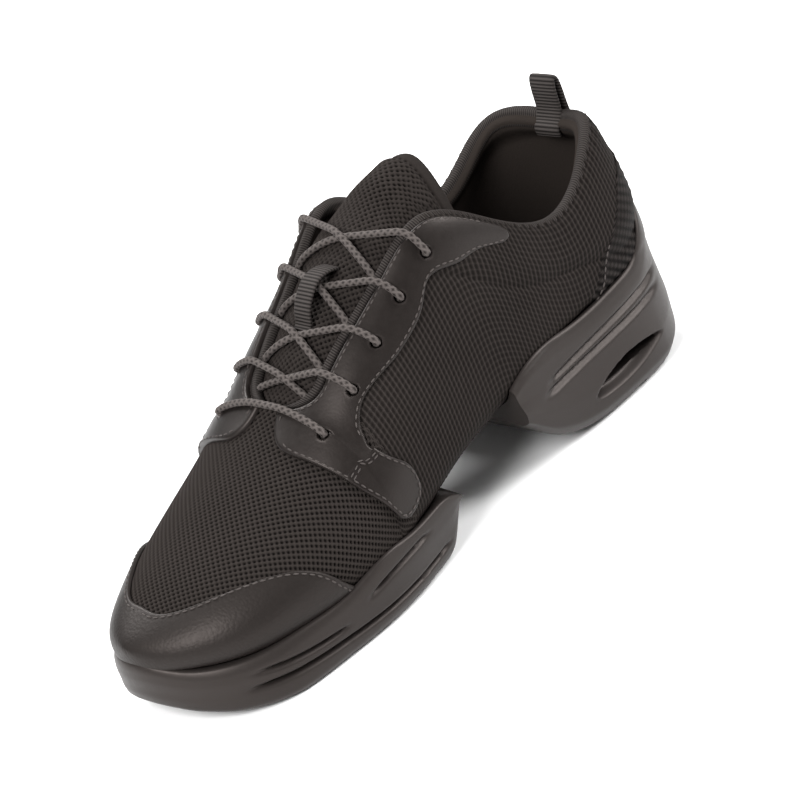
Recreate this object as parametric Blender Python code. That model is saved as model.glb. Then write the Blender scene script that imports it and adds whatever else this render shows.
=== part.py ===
"""Dance sneaker, left shoe, split sole. Metres, +Z up, toe at -X, lateral side at -Y."""
import math
import bmesh
import bpy
import numpy as np

for old in list(bpy.data.objects):
    bpy.data.objects.remove(old, do_unlink=True)

# Main sizes of the last with its upper over it
LENGTH = 0.262
BALL = 0.096
SEAT = 0.036
CROWN = 0.100

# Puts the middle of the shoe's footprint at the origin
SHIFT_X = 0.00165
SHIFT_Y = -0.00285

# Layers and clearances
WALL = 0.0024
COLLAR_PAD = 0.0042
CLEAR = 0.0003
FACET = 0.0003
OVERLAY = 0.0012
CORD = 0.0013

# share of length | lateral, medial (of BALL) | floor, widest (of SEAT) | ridge, half opening (of BALL)
# | crown (of CROWN) | lean of the edge in degrees
STATIONS = [
    (0.00, 0.055, 0.055, 0.600, 0.710, 0.055, 0.161, 0.298, 0),
    (0.03, -0.162, 0.236, 0.550, 0.745, 0.078, 0.161, 0.358, 4),
    (0.08, -0.296, 0.324, 0.450, 0.735, 0.073, 0.160, 0.419, 10),
    (0.15, -0.376, 0.408, 0.363, 0.740, 0.056, 0.157, 0.486, 16),
    (0.23, -0.422, 0.470, 0.315, 0.745, 0.036, 0.149, 0.564, 20),
    (0.31, -0.443, 0.502, 0.312, 0.778, 0.017, 0.140, 0.665, 22),
    (0.40, -0.422, 0.470, 0.381, 0.880, 0.008, 0.164, 0.840, 24),
    (0.50, -0.392, 0.399, 0.560, 1.040, 0.006, 0.204, 0.990, 28),
    (0.60, -0.384, 0.340, 0.690, 1.150, -0.002, 0.256, 1.110, 40),
    (0.70, -0.380, 0.318, 0.830, 1.240, -0.008, 0.312, 0.940, 62),
    (0.80, -0.384, 0.332, 0.944, 1.280, -0.012, 0.328, 0.805, 74),
    (0.90, -0.370, 0.298, 0.985, 1.300, -0.018, 0.300, 0.920, 80),
    (0.97, -0.276, 0.160, 0.990, 1.320, -0.036, 0.206, 0.990, 84),
    (1.00, -0.046, -0.046, 0.990, 1.330, -0.046, 0.000, 0.970, 86),
]
THROAT_FRONT = 0.335
THROAT_FULL = 0.375
THROAT_DROP = 0.0028

# height over the floor | set-back of the heel's rear seam
BACK = [
    (0.030, -0.0060), (0.045, -0.0035), (0.060, -0.0030), (0.080, -0.0062),
    (0.100, -0.0112), (0.118, -0.0120), (0.130, -0.0120),
]

# share of length | lowest row of the upper, -1 is closed under the foot
LASTING = [
    (0.00, -0.55), (0.34, -0.55), (0.40, -0.62), (0.44, -1.00), (0.63, -1.00), (0.67, -0.60), (1.00, -0.55),
]


def natural_spline(xs, ys, x):
    """Natural cubic through a short table."""
    n = len(xs)
    h = np.diff(xs)
    a = np.zeros((n, n))
    b = np.zeros(n)
    a[0, 0] = 1
    a[-1, -1] = 1
    for i in range(1, n - 1):
        a[i, i - 1:i + 2] = h[i - 1], 2 * (h[i - 1] + h[i]), h[i]
        b[i] = 6 * ((ys[i + 1] - ys[i]) / h[i] - (ys[i] - ys[i - 1]) / h[i - 1])
    m = np.linalg.solve(a, b)
    i = np.clip(np.searchsorted(xs, x) - 1, 0, n - 2)
    u = (x - xs[i]) / h[i]
    cubic = ((1 - u) ** 3 - (1 - u)) * m[i] + (u ** 3 - u) * m[i + 1]
    return (1 - u) * ys[i] + u * ys[i + 1] + h[i] ** 2 / 6 * cubic


def turn(share):
    """Length share to the even turn q that rounds both ends."""
    return np.arccos(1 - 2 * np.clip(np.asarray(share, float), 0, 1)) / np.pi


def share(q):
    return (1 - np.cos(np.pi * np.asarray(q, float))) / 2


def smooth(x, a, b):
    u = np.clip((x - a) / (b - a), 0, 1)
    return u * u * (3 - 2 * u)


def bezier(p0, p1, p2, p3, u):
    return (1 - u) ** 3 * p0 + 3 * u * (1 - u) ** 2 * p1 + 3 * u * u * (1 - u) * p2 + u ** 3 * p3


SCALES = (1, BALL, BALL, SEAT, SEAT, BALL, BALL, CROWN, 1)
TABLE = np.array(STATIONS) * np.array(SCALES)
TURNS = turn(TABLE[:, 0])
REAR = np.array(BACK)


def column(q, i):
    return natural_spline(TURNS, TABLE[:, i], q)


def opened(t):
    """0 in front of the throat, 1 along it, round between."""
    k = (THROAT_FULL - np.clip(t, THROAT_FRONT, THROAT_FULL)) / (THROAT_FULL - THROAT_FRONT)
    return np.sqrt(np.clip(1 - k * k, 0, 1))


def surface(q, s, side):
    """The upper's outside. s: -1 middle of the underside, 0 widest, 1 top edge or ridge."""
    q, s, side = np.broadcast_arrays(np.asarray(q, float), np.asarray(s, float), np.asarray(side, float))
    t = share(q)
    wide_y = np.where(side < 0, column(q, 1), column(q, 2))
    floor = column(q, 3)
    wide_z = column(q, 4)
    ridge = column(q, 5)
    u = opened(t)
    edge_y = ridge + side * column(q, 6) * u
    edge_z = column(q, 7) - THROAT_DROP * u ** 2
    lean = np.radians(column(q, 8)) * u
    up = np.clip(s, 0, 1)
    down = np.clip(-s, 0, 1)
    reach = np.abs(wide_y - edge_y)
    k = 0.58
    y_up = bezier(wide_y, wide_y, edge_y + side * reach * k * np.cos(lean), edge_y, up)
    z_up = bezier(wide_z, wide_z + (edge_z - wide_z) * k, edge_z - reach * k * np.sin(lean), edge_z, up)
    y_down = bezier(wide_y, wide_y, ridge + (wide_y - ridge) * 0.62, ridge, down)
    z_down = bezier(wide_z, wide_z + (floor - wide_z) * 0.72, floor, floor, down)
    y = np.where(s >= 0, y_up, y_down)
    z = np.where(s >= 0, z_up, z_down)
    ramp = smooth(q, 0.72, 1.0)
    x = (t - 0.5) * LENGTH + ramp * natural_spline(REAR[:, 0], REAR[:, 1], np.clip(z, 0.030, 0.130))
    return np.stack([x + SHIFT_X, y + SHIFT_Y, z], -1)


def unit(v):
    return v / np.maximum(np.linalg.norm(v, axis=-1, keepdims=True), 1e-12)


def one_normal(q, s, side):
    e = 0.004
    along = surface(q + e, s, side) - surface(q - e, s, side)
    around = surface(q, s + e, side) - surface(q, s - e, side)
    return unit(np.cross(along, around) * side[..., None] * -1)


def normal(q, s, side):
    """Outward direction of the upper's outside; both sides agree where they meet."""
    q, s, side = np.broadcast_arrays(np.asarray(q, float), np.asarray(s, float), np.asarray(side, float))
    qc = np.clip(q, 0.03, 0.985)
    sc = np.clip(s, -0.96, 0.97)
    n = one_normal(qc, sc, side)
    shared = (q <= 1e-6) | (q >= 1 - 1e-6) | (s < -0.999)
    shared = shared | ((s > 0.999) & (opened(share(q)) < 1e-6))
    both = n + one_normal(qc, sc, -side)
    return unit(np.where(shared[..., None], both, n))


def skin(q, s, side, off):
    off = np.asarray(off, float)
    return surface(q, s, side) + normal(q, s, side) * off[..., None]


def at_height(q, z, side, low=-0.55, high=0.95):
    """Row of the upper's side that lies at a height."""
    q, z = np.broadcast_arrays(np.asarray(q, float), np.asarray(z, float))
    a = np.full(q.shape, low)
    b = np.full(q.shape, high)
    for _ in range(24):
        mid = (a + b) / 2
        over = surface(q, mid, side)[..., 2] > z
        b = np.where(over, mid, b)
        a = np.where(over, a, mid)
    return (a + b) / 2


MATERIALS = {}


def material(name, colour, rough):
    if name not in MATERIALS:
        m = bpy.data.materials.new(name)
        m.use_nodes = True
        shader = m.node_tree.nodes["Principled BSDF"]
        shader.inputs["Base Color"].default_value = (*colour, 1)
        shader.inputs["Roughness"].default_value = rough
        m.diffuse_color = (*colour, 1)
        MATERIALS[name] = m
    return MATERIALS[name]


def weld(points, faces):
    """Merges equal points and drops faces without area."""
    keys = {}
    order = []
    where = np.zeros(len(points), int)
    for i, p in enumerate(np.round(points / 2e-6).astype(int)):
        k = tuple(p)
        if k not in keys:
            keys[k] = len(order)
            order.append(i)
        where[i] = keys[k]
    out = []
    for f in faces:
        g = []
        for i in f:
            j = int(where[i])
            if j not in g:
                g.append(j)
        if len(g) > 2:
            out.append(tuple(g))
    return points[order], out


def split_corners(faces):
    """Quads that share three points with another are cut away from the shared diagonal."""
    owners = {}
    for k, f in enumerate(faces):
        if len(f) == 4:
            for i in range(4):
                triple = frozenset(f[j] for j in range(4) if j != i)
                owners.setdefault(triple, []).append((k, i))
    cuts = {}
    for users in owners.values():
        if len(users) > 1:
            for k, i in users:
                cuts[k] = i
    out = []
    for k, f in enumerate(faces):
        if k in cuts:
            i = cuts[k]
            out.append((f[i], f[(i + 1) % 4], f[(i + 2) % 4]))
            out.append((f[i], f[(i + 2) % 4], f[(i + 3) % 4]))
        else:
            out.append(f)
    return out


def solid(name, points, faces, slot):
    """Closed mesh object with outward faces."""
    points, faces = weld(np.asarray(points, float), faces)
    faces = split_corners(faces)
    mesh = bpy.data.meshes.new(name)
    mesh.from_pydata(points.tolist(), [], faces)
    bm = bmesh.new()
    bm.from_mesh(mesh)
    bmesh.ops.triangulate(bm, faces=bm.faces)
    bmesh.ops.recalc_face_normals(bm, faces=bm.faces)
    if bm.calc_volume(signed=True) < 0:
        bmesh.ops.reverse_faces(bm, faces=bm.faces)
    bm.to_mesh(mesh)
    bm.free()
    obj = bpy.data.objects.new(name, mesh)
    bpy.context.scene.collection.objects.link(obj)
    mesh.materials.append(slot)
    return obj


def grid_faces(rows, cols, base=0):
    out = []
    for i in range(rows - 1):
        for j in range(cols - 1):
            k = base + i * cols + j
            out.append((k, k + 1, k + cols + 1, k + cols))
    return out


def shell(name, base, faces, outer, inner, slot):
    """Solid between two layers of one patch. base tells which points are the same."""
    _, index, merged = np.unique(np.round(base / 2e-6).astype(int), axis=0, return_index=True, return_inverse=True)
    merged = merged.reshape(-1)
    outer = outer[index]
    inner = inner[index]
    quads = []
    for f in faces:
        g = []
        for i in f:
            if int(merged[i]) not in g:
                g.append(int(merged[i]))
        if len(g) > 2:
            quads.append(g)
    count = {}
    for g in quads:
        for a, b in zip(g, g[1:] + g[:1]):
            key = (min(a, b), max(a, b))
            count.setdefault(key, []).append((a, b))
    n = len(outer)
    all_faces = [tuple(g) for g in quads]
    all_faces += [tuple(reversed([i + n for i in g])) for g in quads]
    for uses in count.values():
        if len(uses) == 1:
            a, b = uses[0]
            all_faces.append((b, a, a + n, b + n))
    return solid(name, np.concatenate([outer, inner]), all_faces, slot)


def cut(obj, tools):
    """Takes joined tools out of an object."""
    for tool in tools:
        mod = obj.modifiers.new("cut", "BOOLEAN")
        mod.operation = "DIFFERENCE"
        mod.solver = "EXACT"
        mod.object = tool
        bpy.context.view_layer.objects.active = obj
        obj.select_set(True)
        bpy.ops.object.modifier_apply(modifier=mod.name)
    for tool in tools:
        bpy.data.objects.remove(tool, do_unlink=True)
    tidy(obj)


def tidy(obj):
    """Closes the tiny edges that a cut leaves behind."""
    bm = bmesh.new()
    bm.from_mesh(obj.data)
    bmesh.ops.remove_doubles(bm, verts=bm.verts, dist=4e-5)
    bmesh.ops.dissolve_degenerate(bm, edges=bm.edges, dist=2e-5)
    bmesh.ops.triangulate(bm, faces=bm.faces)
    bmesh.ops.recalc_face_normals(bm, faces=bm.faces)
    bm.to_mesh(obj.data)
    bm.free()


def fuse(obj, other):
    mod = obj.modifiers.new("fuse", "BOOLEAN")
    mod.operation = "UNION"
    mod.solver = "EXACT"
    mod.object = other
    bpy.context.view_layer.objects.active = obj
    bpy.ops.object.modifier_apply(modifier=mod.name)
    bpy.data.objects.remove(other, do_unlink=True)
    tidy(obj)


def rod(path, radius, sides, name, slot, flat=1.0, across=None):
    """Tube along a path, closed at both ends."""
    path = np.asarray(path, float)
    ahead = unit(np.gradient(path, axis=0))
    ref = np.array([0.3, 0.2, 1.0]) if across is None else np.asarray(across, float)
    side_dir = unit(np.cross(ahead, ref))
    up_dir = np.cross(side_dir, ahead)
    ang = np.arange(sides) / sides * 2 * np.pi
    points = []
    for p, a, b in zip(path, side_dir, up_dir):
        for c in ang:
            points.append(p + radius * (math.cos(c) * a + flat * math.sin(c) * b))
    faces = []
    for i in range(len(path) - 1):
        for j in range(sides):
            k = (j + 1) % sides
            faces.append((i * sides + j, i * sides + k, (i + 1) * sides + k, (i + 1) * sides + j))
    last = (len(path) - 1) * sides
    faces.append(tuple(range(sides - 1, -1, -1)))
    faces.append(tuple(last + j for j in range(sides)))
    return solid(name, points, faces, slot)


# Colours of the slots
KNIT = material("knit_fabric", (0.045, 0.038, 0.035), 0.9)
LEATHER = material("leather", (0.055, 0.047, 0.044), 0.5)
CAP = material("toe_cap_leather", (0.060, 0.052, 0.049), 0.6)
FOAM = material("sole_rubber", (0.062, 0.054, 0.051), 0.55)
LINING = material("lining_cloth", (0.040, 0.034, 0.031), 0.95)
LACE = material("lace_cord", (0.050, 0.043, 0.040), 0.85)
WEBBING = material("webbing", (0.045, 0.038, 0.036), 0.85)


# Upper: outside, inside, padded collar
EYELETS = 5
EYELET_FIRST = 0.3305
EYELET_STEP = 0.0600
EYELET_ROW = 0.715
EYELET_ROW_FIRST = 0.640
EYELET_HOLE = 0.0021


def padding(q, s):
    """Extra wall along the padded collar."""
    t = share(q)
    return COLLAR_PAD * smooth(t, 0.56, 0.66) * smooth(s, 0.50, 0.74) * (1 - 0.75 * smooth(s, 0.86, 1.0))


def lasting(q):
    tab = np.array(LASTING)
    return np.interp(share(q), tab[:, 0], tab[:, 1])


def both_sides(qs, rows_of):
    """Grid over lateral and medial side; rows_of(q) gives the rows of one station."""
    q_all = []
    s_all = []
    d_all = []
    faces = []
    for side in (-1, 1):
        rows = [rows_of(q, side) for q in qs]
        cols = len(rows[0])
        base = len(q_all)
        for q, r in zip(qs, rows):
            q_all += [q] * cols
            s_all += list(r)
            d_all += [side] * cols
        for f in grid_faces(len(qs), cols, base):
            faces.append(f if side > 0 else tuple(reversed(f)))
    return np.array(q_all), np.array(s_all), np.array(d_all), faces


UPPER_TURNS = np.concatenate([
    np.linspace(0, turn(0.30), 9)[:-1], turn(np.array([0.30, THROAT_FRONT, 0.341, 0.349, 0.361, 0.375])),
    turn(np.array([0.42, 0.476, 0.532, 0.59, 0.635, 0.675])), np.linspace(turn(0.705), 1, 10),
])


def upper_rows(q, side):
    low = float(lasting(q))
    lower = np.linspace(low, -0.28, 4)
    return np.concatenate([lower, [0.0, 0.30, 0.56, 0.74, 0.89, 1.0]])


def make_upper():
    q, s, d, faces = both_sides(UPPER_TURNS, upper_rows)
    base = surface(q, s, d)
    return shell("upper", base, faces, skin(q, s, d, 0 * q), skin(q, s, d, -(WALL + padding(q, s))), KNIT)


def eyelet(i, side):
    q = turn(EYELET_FIRST + i * EYELET_STEP)
    row = EYELET_ROW_FIRST if i == 0 else EYELET_ROW
    return surface(q, row, side), normal(q, row, side)


def hole_tools(side, name):
    tools = []
    for i in range(EYELETS):
        p, n = eyelet(i, side)
        tools.append(rod([p - n * 0.008, p + n * 0.006], EYELET_HOLE, 8, name + str(i), KNIT))
    return tools


upper = make_upper()
cut(upper, hole_tools(-1, "pin_l") + hole_tools(1, "pin_m"))


# Eyestays: leather bands along the throat with a strap patch down the side, between two rails
# throat rail: share of length, row | quarter rail: share of length, row
EYESTAY = [
    (0.338, 0.060, 0.384, 0.072), (0.330, 0.130, 0.388, 0.118), (0.316, 0.270, 0.375, 0.260),
    (0.306, 0.410, 0.364, 0.386), (0.299, 0.550, 0.357, 0.450), (0.293, 0.700, 0.362, 0.520),
    (0.291, 0.800, 0.367, 0.570), (0.297, 0.870, 0.378, 0.610), (0.313, 0.930, 0.392, 0.623),
    (0.340, 0.985, 0.412, 0.605), (0.362, 0.985, 0.432, 0.580), (0.400, 0.985, 0.455, 0.550),
    (0.450, 0.985, 0.490, 0.530), (0.510, 0.985, 0.530, 0.545), (0.560, 0.985, 0.560, 0.592),
    (0.600, 0.940, 0.600, 0.530), (0.640, 0.880, 0.640, 0.560), (0.680, 0.830, 0.680, 0.640),
    (0.706, 0.780, 0.706, 0.735),
]


def make_eyestay(side, name):
    rails = np.array(EYESTAY)
    cols = 5
    q_all = []
    s_all = []
    for share_a, row_a, share_b, row_b in rails:
        for v in np.linspace(0, 1, cols):
            q_all.append(float(turn(share_a + (share_b - share_a) * v)))
            s_all.append(row_a + (row_b - row_a) * v)
    q = np.array(q_all)
    s = np.array(s_all)
    faces = grid_faces(len(rails), cols)
    base = surface(q, s, side)
    off = CLEAR + FACET + 0 * q
    obj = shell(name, base, faces, skin(q, s, side, off + OVERLAY), skin(q, s, side, off), LEATHER)
    cut(obj, hole_tools(side, "pin"))
    return obj


make_eyestay(-1, "eyestay_lateral")
make_eyestay(1, "eyestay_medial")


# Soles. Row of the upper's side where each sole's wall ends, by share of length
# share of length | top height lateral | top height medial
FORE_TOP = [
    (0.00, 0.0260, 0.0260), (0.02, 0.0238, 0.0238), (0.05, 0.0222, 0.0222), (0.09, 0.0212, 0.0212),
    (0.15, 0.0206, 0.0206), (0.21, 0.0208, 0.0208), (0.25, 0.0226, 0.0226), (0.30, 0.0250, 0.0250),
    (0.35, 0.0238, 0.0240), (0.40, 0.0232, 0.0240), (0.44, 0.0246, 0.0256), (0.46, 0.0256, 0.0268),
]
# share of length | underside of the forefoot sole
FORE_LOW = [
    (0.00, 0.0090), (0.02, 0.0055), (0.05, 0.0026), (0.09, 0.0007), (0.13, 0.0), (0.425, 0.0),
    (0.440, 0.0050), (0.452, 0.0110), (0.460, 0.0150),
]
HEEL_TOP = [
    (0.605, 0.0370, 0.0360), (0.64, 0.0408, 0.0400), (0.68, 0.0424, 0.0416), (0.74, 0.0412, 0.0410),
    (0.80, 0.0410, 0.0410), (0.86, 0.0422, 0.0422), (0.914, 0.0455, 0.0455), (0.953, 0.0545, 0.0545),
    (0.98, 0.0610, 0.0610), (1.00, 0.0650, 0.0650),
]
HEEL_LOW = [
    (0.605, 0.0222), (0.618, 0.0190), (0.635, 0.0140), (0.660, 0.0084), (0.690, 0.0042), (0.720, 0.0017),
    (0.750, 0.0004), (0.775, 0.0), (0.900, 0.0), (0.950, 0.0012), (0.980, 0.0034), (1.000, 0.0060),
]
# part of the wall's height | how far it stands out
FORE_WALL = [
    (1.00, 0.0014), (0.90, 0.0026), (0.66, 0.0034), (0.43, 0.0034), (0.36, 0.0018), (0.29, 0.0036),
    (0.12, 0.0032), (0.00, 0.0008),
]
HEEL_WALL = [
    (1.00, 0.0012), (0.93, 0.0022), (0.86, 0.0027), (0.81, 0.0013), (0.76, 0.0028), (0.67, 0.0014),
    (0.61, 0.0032), (0.50, 0.0038), (0.34, 0.0050), (0.12, 0.0050), (0.00, 0.0020),
]
# share of length | extra spread at the ground
SPREAD = [
    (0.00, -0.0010), (0.05, 0.0010), (0.12, 0.0020), (0.20, -0.0004), (0.27, -0.0014), (0.35, -0.0030),
    (0.42, -0.0046), (0.46, -0.0058), (0.60, 0.0), (0.90, 0.0), (0.96, -0.0014), (1.00, -0.0024),
]
SHADOW_ROW = -0.12
TREAD = 0.0012


def flat_out(q, side):
    """Outward direction of the outline, level."""
    n = normal(q, 0.0 * np.asarray(q, float), side)
    n[..., 2] = 0
    return unit(n)


def sole_station(q, side, top_tab, low_tab, wall, tread):
    """Inner and outer chain of one section, from the middle of the underside to the rim."""
    t = float(share(q))
    top_tab = np.array(top_tab)
    low_tab = np.array(low_tab)
    wall = np.array(wall)
    top = np.interp(t, top_tab[:, 0], top_tab[:, 1 if side < 0 else 2])
    low = np.interp(t, low_tab[:, 0], low_tab[:, 1])
    s_top = float(at_height(q, top, side))
    heights = low + wall[:, 0] * (top - low)
    rows = np.maximum(at_height(q, heights, side), SHADOW_ROW)
    base = surface(q, rows, side)
    base[0] = surface(q, s_top, side)
    out = np.array(SPREAD)
    stand = wall[:, 1] + (1 - wall[:, 0]) ** 0.7 * np.interp(t, out[:, 0], out[:, 1])
    outer = base + flat_out(np.full(len(rows), q), side) * stand[:, None]
    outer[:, 2] = heights
    edge = outer[-1]
    middle = surface(q, -1.0, side)
    mid = np.array([middle[0] + (edge[0] - base[-1][0]) * 0.0, middle[1], low])
    under = [edge + (mid - edge) * f for f in (0.30, 0.65, 1.0)]
    under = np.array(under)
    under[:, 2] += tread
    outer[-1, 2] += tread
    outer = np.concatenate([outer, under])[::-1]
    n = len(outer)
    s_in = -1 + (s_top + 1) * np.linspace(0, 1, n) ** 0.9
    inner = skin(np.full(n, q), s_in, side, np.full(n, CLEAR + FACET))
    return inner, outer


def make_sole(name, turns, treads, top_tab, low_tab, wall, closed_first, closed_last):
    points = []
    faces = []
    n = len(wall) + 3
    for side in (-1, 1):
        base = len(points)
        for q, tread in zip(turns, treads):
            inner, outer = sole_station(q, side, top_tab, low_tab, wall, tread)
            points += list(inner) + list(outer)
        ring = 2 * n
        for i in range(len(turns) - 1):
            a = base + i * ring
            b = a + ring
            for j in range(n - 1):
                faces.append((a + j, b + j, b + j + 1, a + j + 1))
                faces.append((a + n + j, a + n + j + 1, b + n + j + 1, b + n + j))
            faces.append((a + n - 1, b + n - 1, b + 2 * n - 1, a + 2 * n - 1))
        ends = []
        if not closed_first:
            ends.append(0)
        if not closed_last:
            ends.append(len(turns) - 1)
        for e in ends:
            a = base + e * ring
            for j in range(n - 1):
                faces.append((a + j, a + j + 1, a + n + j + 1, a + n + j))
    return solid(name, points, faces, FOAM)


def with_treads(first, last, count, plain):
    """Stations and tread depth; grooves run straight across."""
    marks = []
    for q in plain:
        marks.append((float(q), 0.0))
    pitch = (last - first) / count
    for i in range(count):
        a = first + (i + 0.62) * pitch
        b = first + (i + 1.0) * pitch
        for t, depth in ((a, 0.0), (a + 0.0015, TREAD), (b - 0.0015, TREAD), (b, 0.0)):
            marks.append((float(turn(t)), depth))
    marks.sort()
    return [m[0] for m in marks], [m[1] for m in marks]


fore_plain = list(np.linspace(0, turn(0.10), 8)) + [float(turn(0.43)), float(turn(0.445)), float(turn(0.460))]
fore_turns, fore_treads = with_treads(0.130, 0.420, 4, fore_plain)
make_sole("forefoot_sole", fore_turns, fore_treads, FORE_TOP, FORE_LOW, FORE_WALL, True, False)
heel_plain = list(turn(np.array([0.605, 0.618, 0.635, 0.660, 0.690, 0.720, 0.750])))
heel_plain += list(np.linspace(turn(0.945), 1, 7))
heel_turns, heel_treads = with_treads(0.760, 0.925, 2, heel_plain)
heel = make_sole("heel_sole", heel_turns, heel_treads, HEEL_TOP, HEEL_LOW, HEEL_WALL, False, True)

# Window through the heel: a lens in the side view
WINDOW_FRONT = 0.060
WINDOW_REAR = 0.104
WINDOW_LOW = 0.0134
WINDOW_RISE = 0.0
WINDOW_OPEN = 0.0092


def window_tool():
    """Curved lens in the side view, straight across the heel."""
    n = 9
    lower = []
    upper_line = []
    for i in range(n):
        u = i / (n - 1)
        x = SHIFT_X + WINDOW_FRONT + (WINDOW_REAR - WINDOW_FRONT) * u
        z = WINDOW_LOW + WINDOW_RISE * u * u
        half = WINDOW_OPEN / 2 * math.sin(math.pi * (0.06 + 0.88 * u)) ** 0.6
        lower.append((x, z - half))
        upper_line.append((x, z + half))
    loop = lower + upper_line[::-1]
    points = [(x, -0.080, z) for x, z in loop] + [(x, 0.080, z) for x, z in loop]
    m = len(loop)
    faces = [tuple(range(m)), tuple(range(2 * m - 1, m - 1, -1))]
    for i in range(m):
        j = (i + 1) % m
        faces.append((i, j, m + j, m + i))
    return solid("window", points, faces, FOAM)


cut(heel, [window_tool()])


# Toe cap over the front, down to the sole's rim
# row | reach of the cap in share of length, lateral | medial
CAP_EDGE = [
    (-0.20, 0.243, 0.225), (0.106, 0.211, 0.195), (0.246, 0.188, 0.172), (0.374, 0.154, 0.142),
    (0.520, 0.104, 0.100), (0.683, 0.060, 0.066), (1.00, 0.050, 0.050),
]
CAP_RISE = 0.0024


def make_toe_cap():
    tab = np.array(CAP_EDGE)
    top_tab = np.array(FORE_TOP)
    across = 10
    rows = 8
    q_all = []
    s_all = []
    d_all = []
    faces = []
    for side in (-1, 1):
        base = len(q_all)
        for v in np.linspace(0, 1, rows):
            s_mid = -0.20 + 1.20 * v
            q_end = float(turn(np.interp(s_mid, tab[:, 0], tab[:, 1 if side < 0 else 2])))
            for k in range(across):
                q = q_end * k / (across - 1)
                top = np.interp(share(q), top_tab[:, 0], top_tab[:, 1 if side < 0 else 2])
                s_low = float(at_height(q, top + CAP_RISE, side))
                q_all.append(q)
                s_all.append(s_low + (1 - s_low) * v)
                d_all.append(side)
        for f in grid_faces(rows, across, base):
            faces.append(f)
    q = np.array(q_all)
    s = np.array(s_all)
    d = np.array(d_all)
    base = surface(q, s, d)
    off = CLEAR + FACET + 0 * q
    return shell("toe_cap", base, faces, skin(q, s, d, off + OVERLAY), skin(q, s, d, off), CAP)


make_toe_cap()


# Tongue: tucked under the vamp and the eyestays, free above
TONGUE_THICK = 0.0055
TONGUE_FRONT = 0.300
TONGUE_WING = 0.66
# share of length | height of the middle over the throat's edges | half width of the top part
TONGUE_RISE = [
    (0.300, 0.000), (0.335, 0.000), (0.375, 0.0042), (0.430, 0.0062), (0.500, 0.0072), (0.560, 0.0090),
    (0.600, 0.0120), (0.640, 0.0170), (0.672, 0.0215),
]
TONGUE_TOP = 0.672


def slack(t):
    """Gap between the tongue and the upper's lining, wider at the padded collar."""
    return CLEAR + FACET + 0.0050 * smooth(t, 0.51, 0.60)


def wing_depth(t):
    """How far down the wings go, less at the collar."""
    return (1 - TONGUE_WING) * (1 - 0.45 * smooth(t, 0.57, 0.61))


def wing_row(t, v):
    """Row of the upper over a point of the tongue."""
    return 1 - np.clip(abs(v) - 0.5, 0, 1) * 2 * wing_depth(t)


def tongue_point(t, v):
    """Outer face of the tongue. v: -1 lateral wing, 0 middle, 1 medial wing."""
    side = -1 if v < 0 else 1
    q = float(turn(t))
    loose = float(slack(t))
    under = -(WALL + loose) - float(padding(q, 1.0))
    a = abs(v)
    if a >= 0.5:
        s = float(wing_row(t, v))
        gap = -(WALL + loose) - float(padding(q, s))
        return skin(q, s, side, gap)
    edge = skin(q, 1.0, side, under)
    other = skin(q, 1.0, -side, under)
    tab = np.array(TONGUE_RISE)
    rise = float(np.interp(t, tab[:, 0], tab[:, 1]))
    middle = (edge + other) / 2
    half = (edge[1] - other[1]) / 2
    b = a * 2
    y = middle[1] + half * b
    z = middle[2] + rise * math.sqrt(max(0.0, 1 - b * b)) * (1 - 0.35 * b * b)
    return np.array([middle[0], y, z])


def make_tongue():
    shares = np.array([0.300, 0.335, 0.350, 0.375, 0.410, 0.450, 0.490, 0.530, 0.570, 0.600, 0.630, 0.655, TONGUE_TOP])
    vs = np.concatenate([np.linspace(-1, -0.5, 4), np.linspace(-0.5, 0.5, 9)[1:-1], np.linspace(0.5, 1, 4)])
    points = np.array([[tongue_point(t, v) for v in vs] for t in shares])
    along = np.gradient(points, axis=0)
    around = np.gradient(points, axis=1)
    n = unit(np.cross(along, around))
    n = np.where(n[..., 2:3] < 0, -n, n)
    inner = points - n * TONGUE_THICK
    rows, cols = points.shape[:2]
    flat = points.reshape(-1, 3)
    return shell("tongue", flat, grid_faces(rows, cols), flat, inner.reshape(-1, 3), LINING)


make_tongue()


# Insole on the upper's inner floor
INSOLE_THICK = 0.0035


def make_insole():
    turns = np.linspace(0.11, 0.93, 16)

    def rows(q, side):
        return np.array([-1.0, -0.85, -0.70, -0.55, -0.42])

    q, s, d, faces = both_sides(turns, rows)
    low = -(WALL + CLEAR + FACET + 0.0004)
    base = surface(q, s, d)
    return shell("insole", base, faces, skin(q, s, d, low - INSOLE_THICK + 0 * q), skin(q, s, d, low + 0 * q), LINING)


make_insole()


# Laces
LACE_OVER_STAY = CLEAR + FACET + OVERLAY + CLEAR + CORD + 0.0002
# extra height of each crossing, where the facets of the collar come close
LACE_LIFT = [0.0004, 0.0004, 0.0005, 0.0008]
LACE_OVER_TONGUE = CLEAR + CORD + 0.0003


def tongue_frame(t, v):
    """Point and outward direction of the tongue's face."""
    e = 0.01
    p = tongue_point(t, v)
    a = tongue_point(t + e, v) - tongue_point(t - e, v)
    b = tongue_point(t, v + e) - tongue_point(t, v - e)
    n = unit(np.cross(a, b))
    return p, (n if n[2] > 0 else -n)


def cord_path(t_start, v_start, t_end, v_end, lift, turn_down, steps):
    """Path over the tongue from an eyelet to the other edge. lift is the extra height at the eyelet."""
    points = []
    for w in np.linspace(0, 1, steps):
        t = t_start + (t_end - t_start) * w
        v = v_start + (v_end - v_start) * w
        p, n = tongue_frame(t, v)
        high = lift + LACE_OVER_STAY + WALL + float(slack(t)) + float(padding(turn(t), wing_row(t, v)))
        h = high + (LACE_LOW - high) * float(smooth(w, turn_down[0], turn_down[1]))
        points.append(p + n * h)
    return np.array(points)


LACE_LOW = 0.0036
V_EYELET = 0.5 + (1 - EYELET_ROW) / (1 - TONGUE_WING) / 2


def eyelet_share(i):
    return EYELET_FIRST + i * EYELET_STEP


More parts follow.
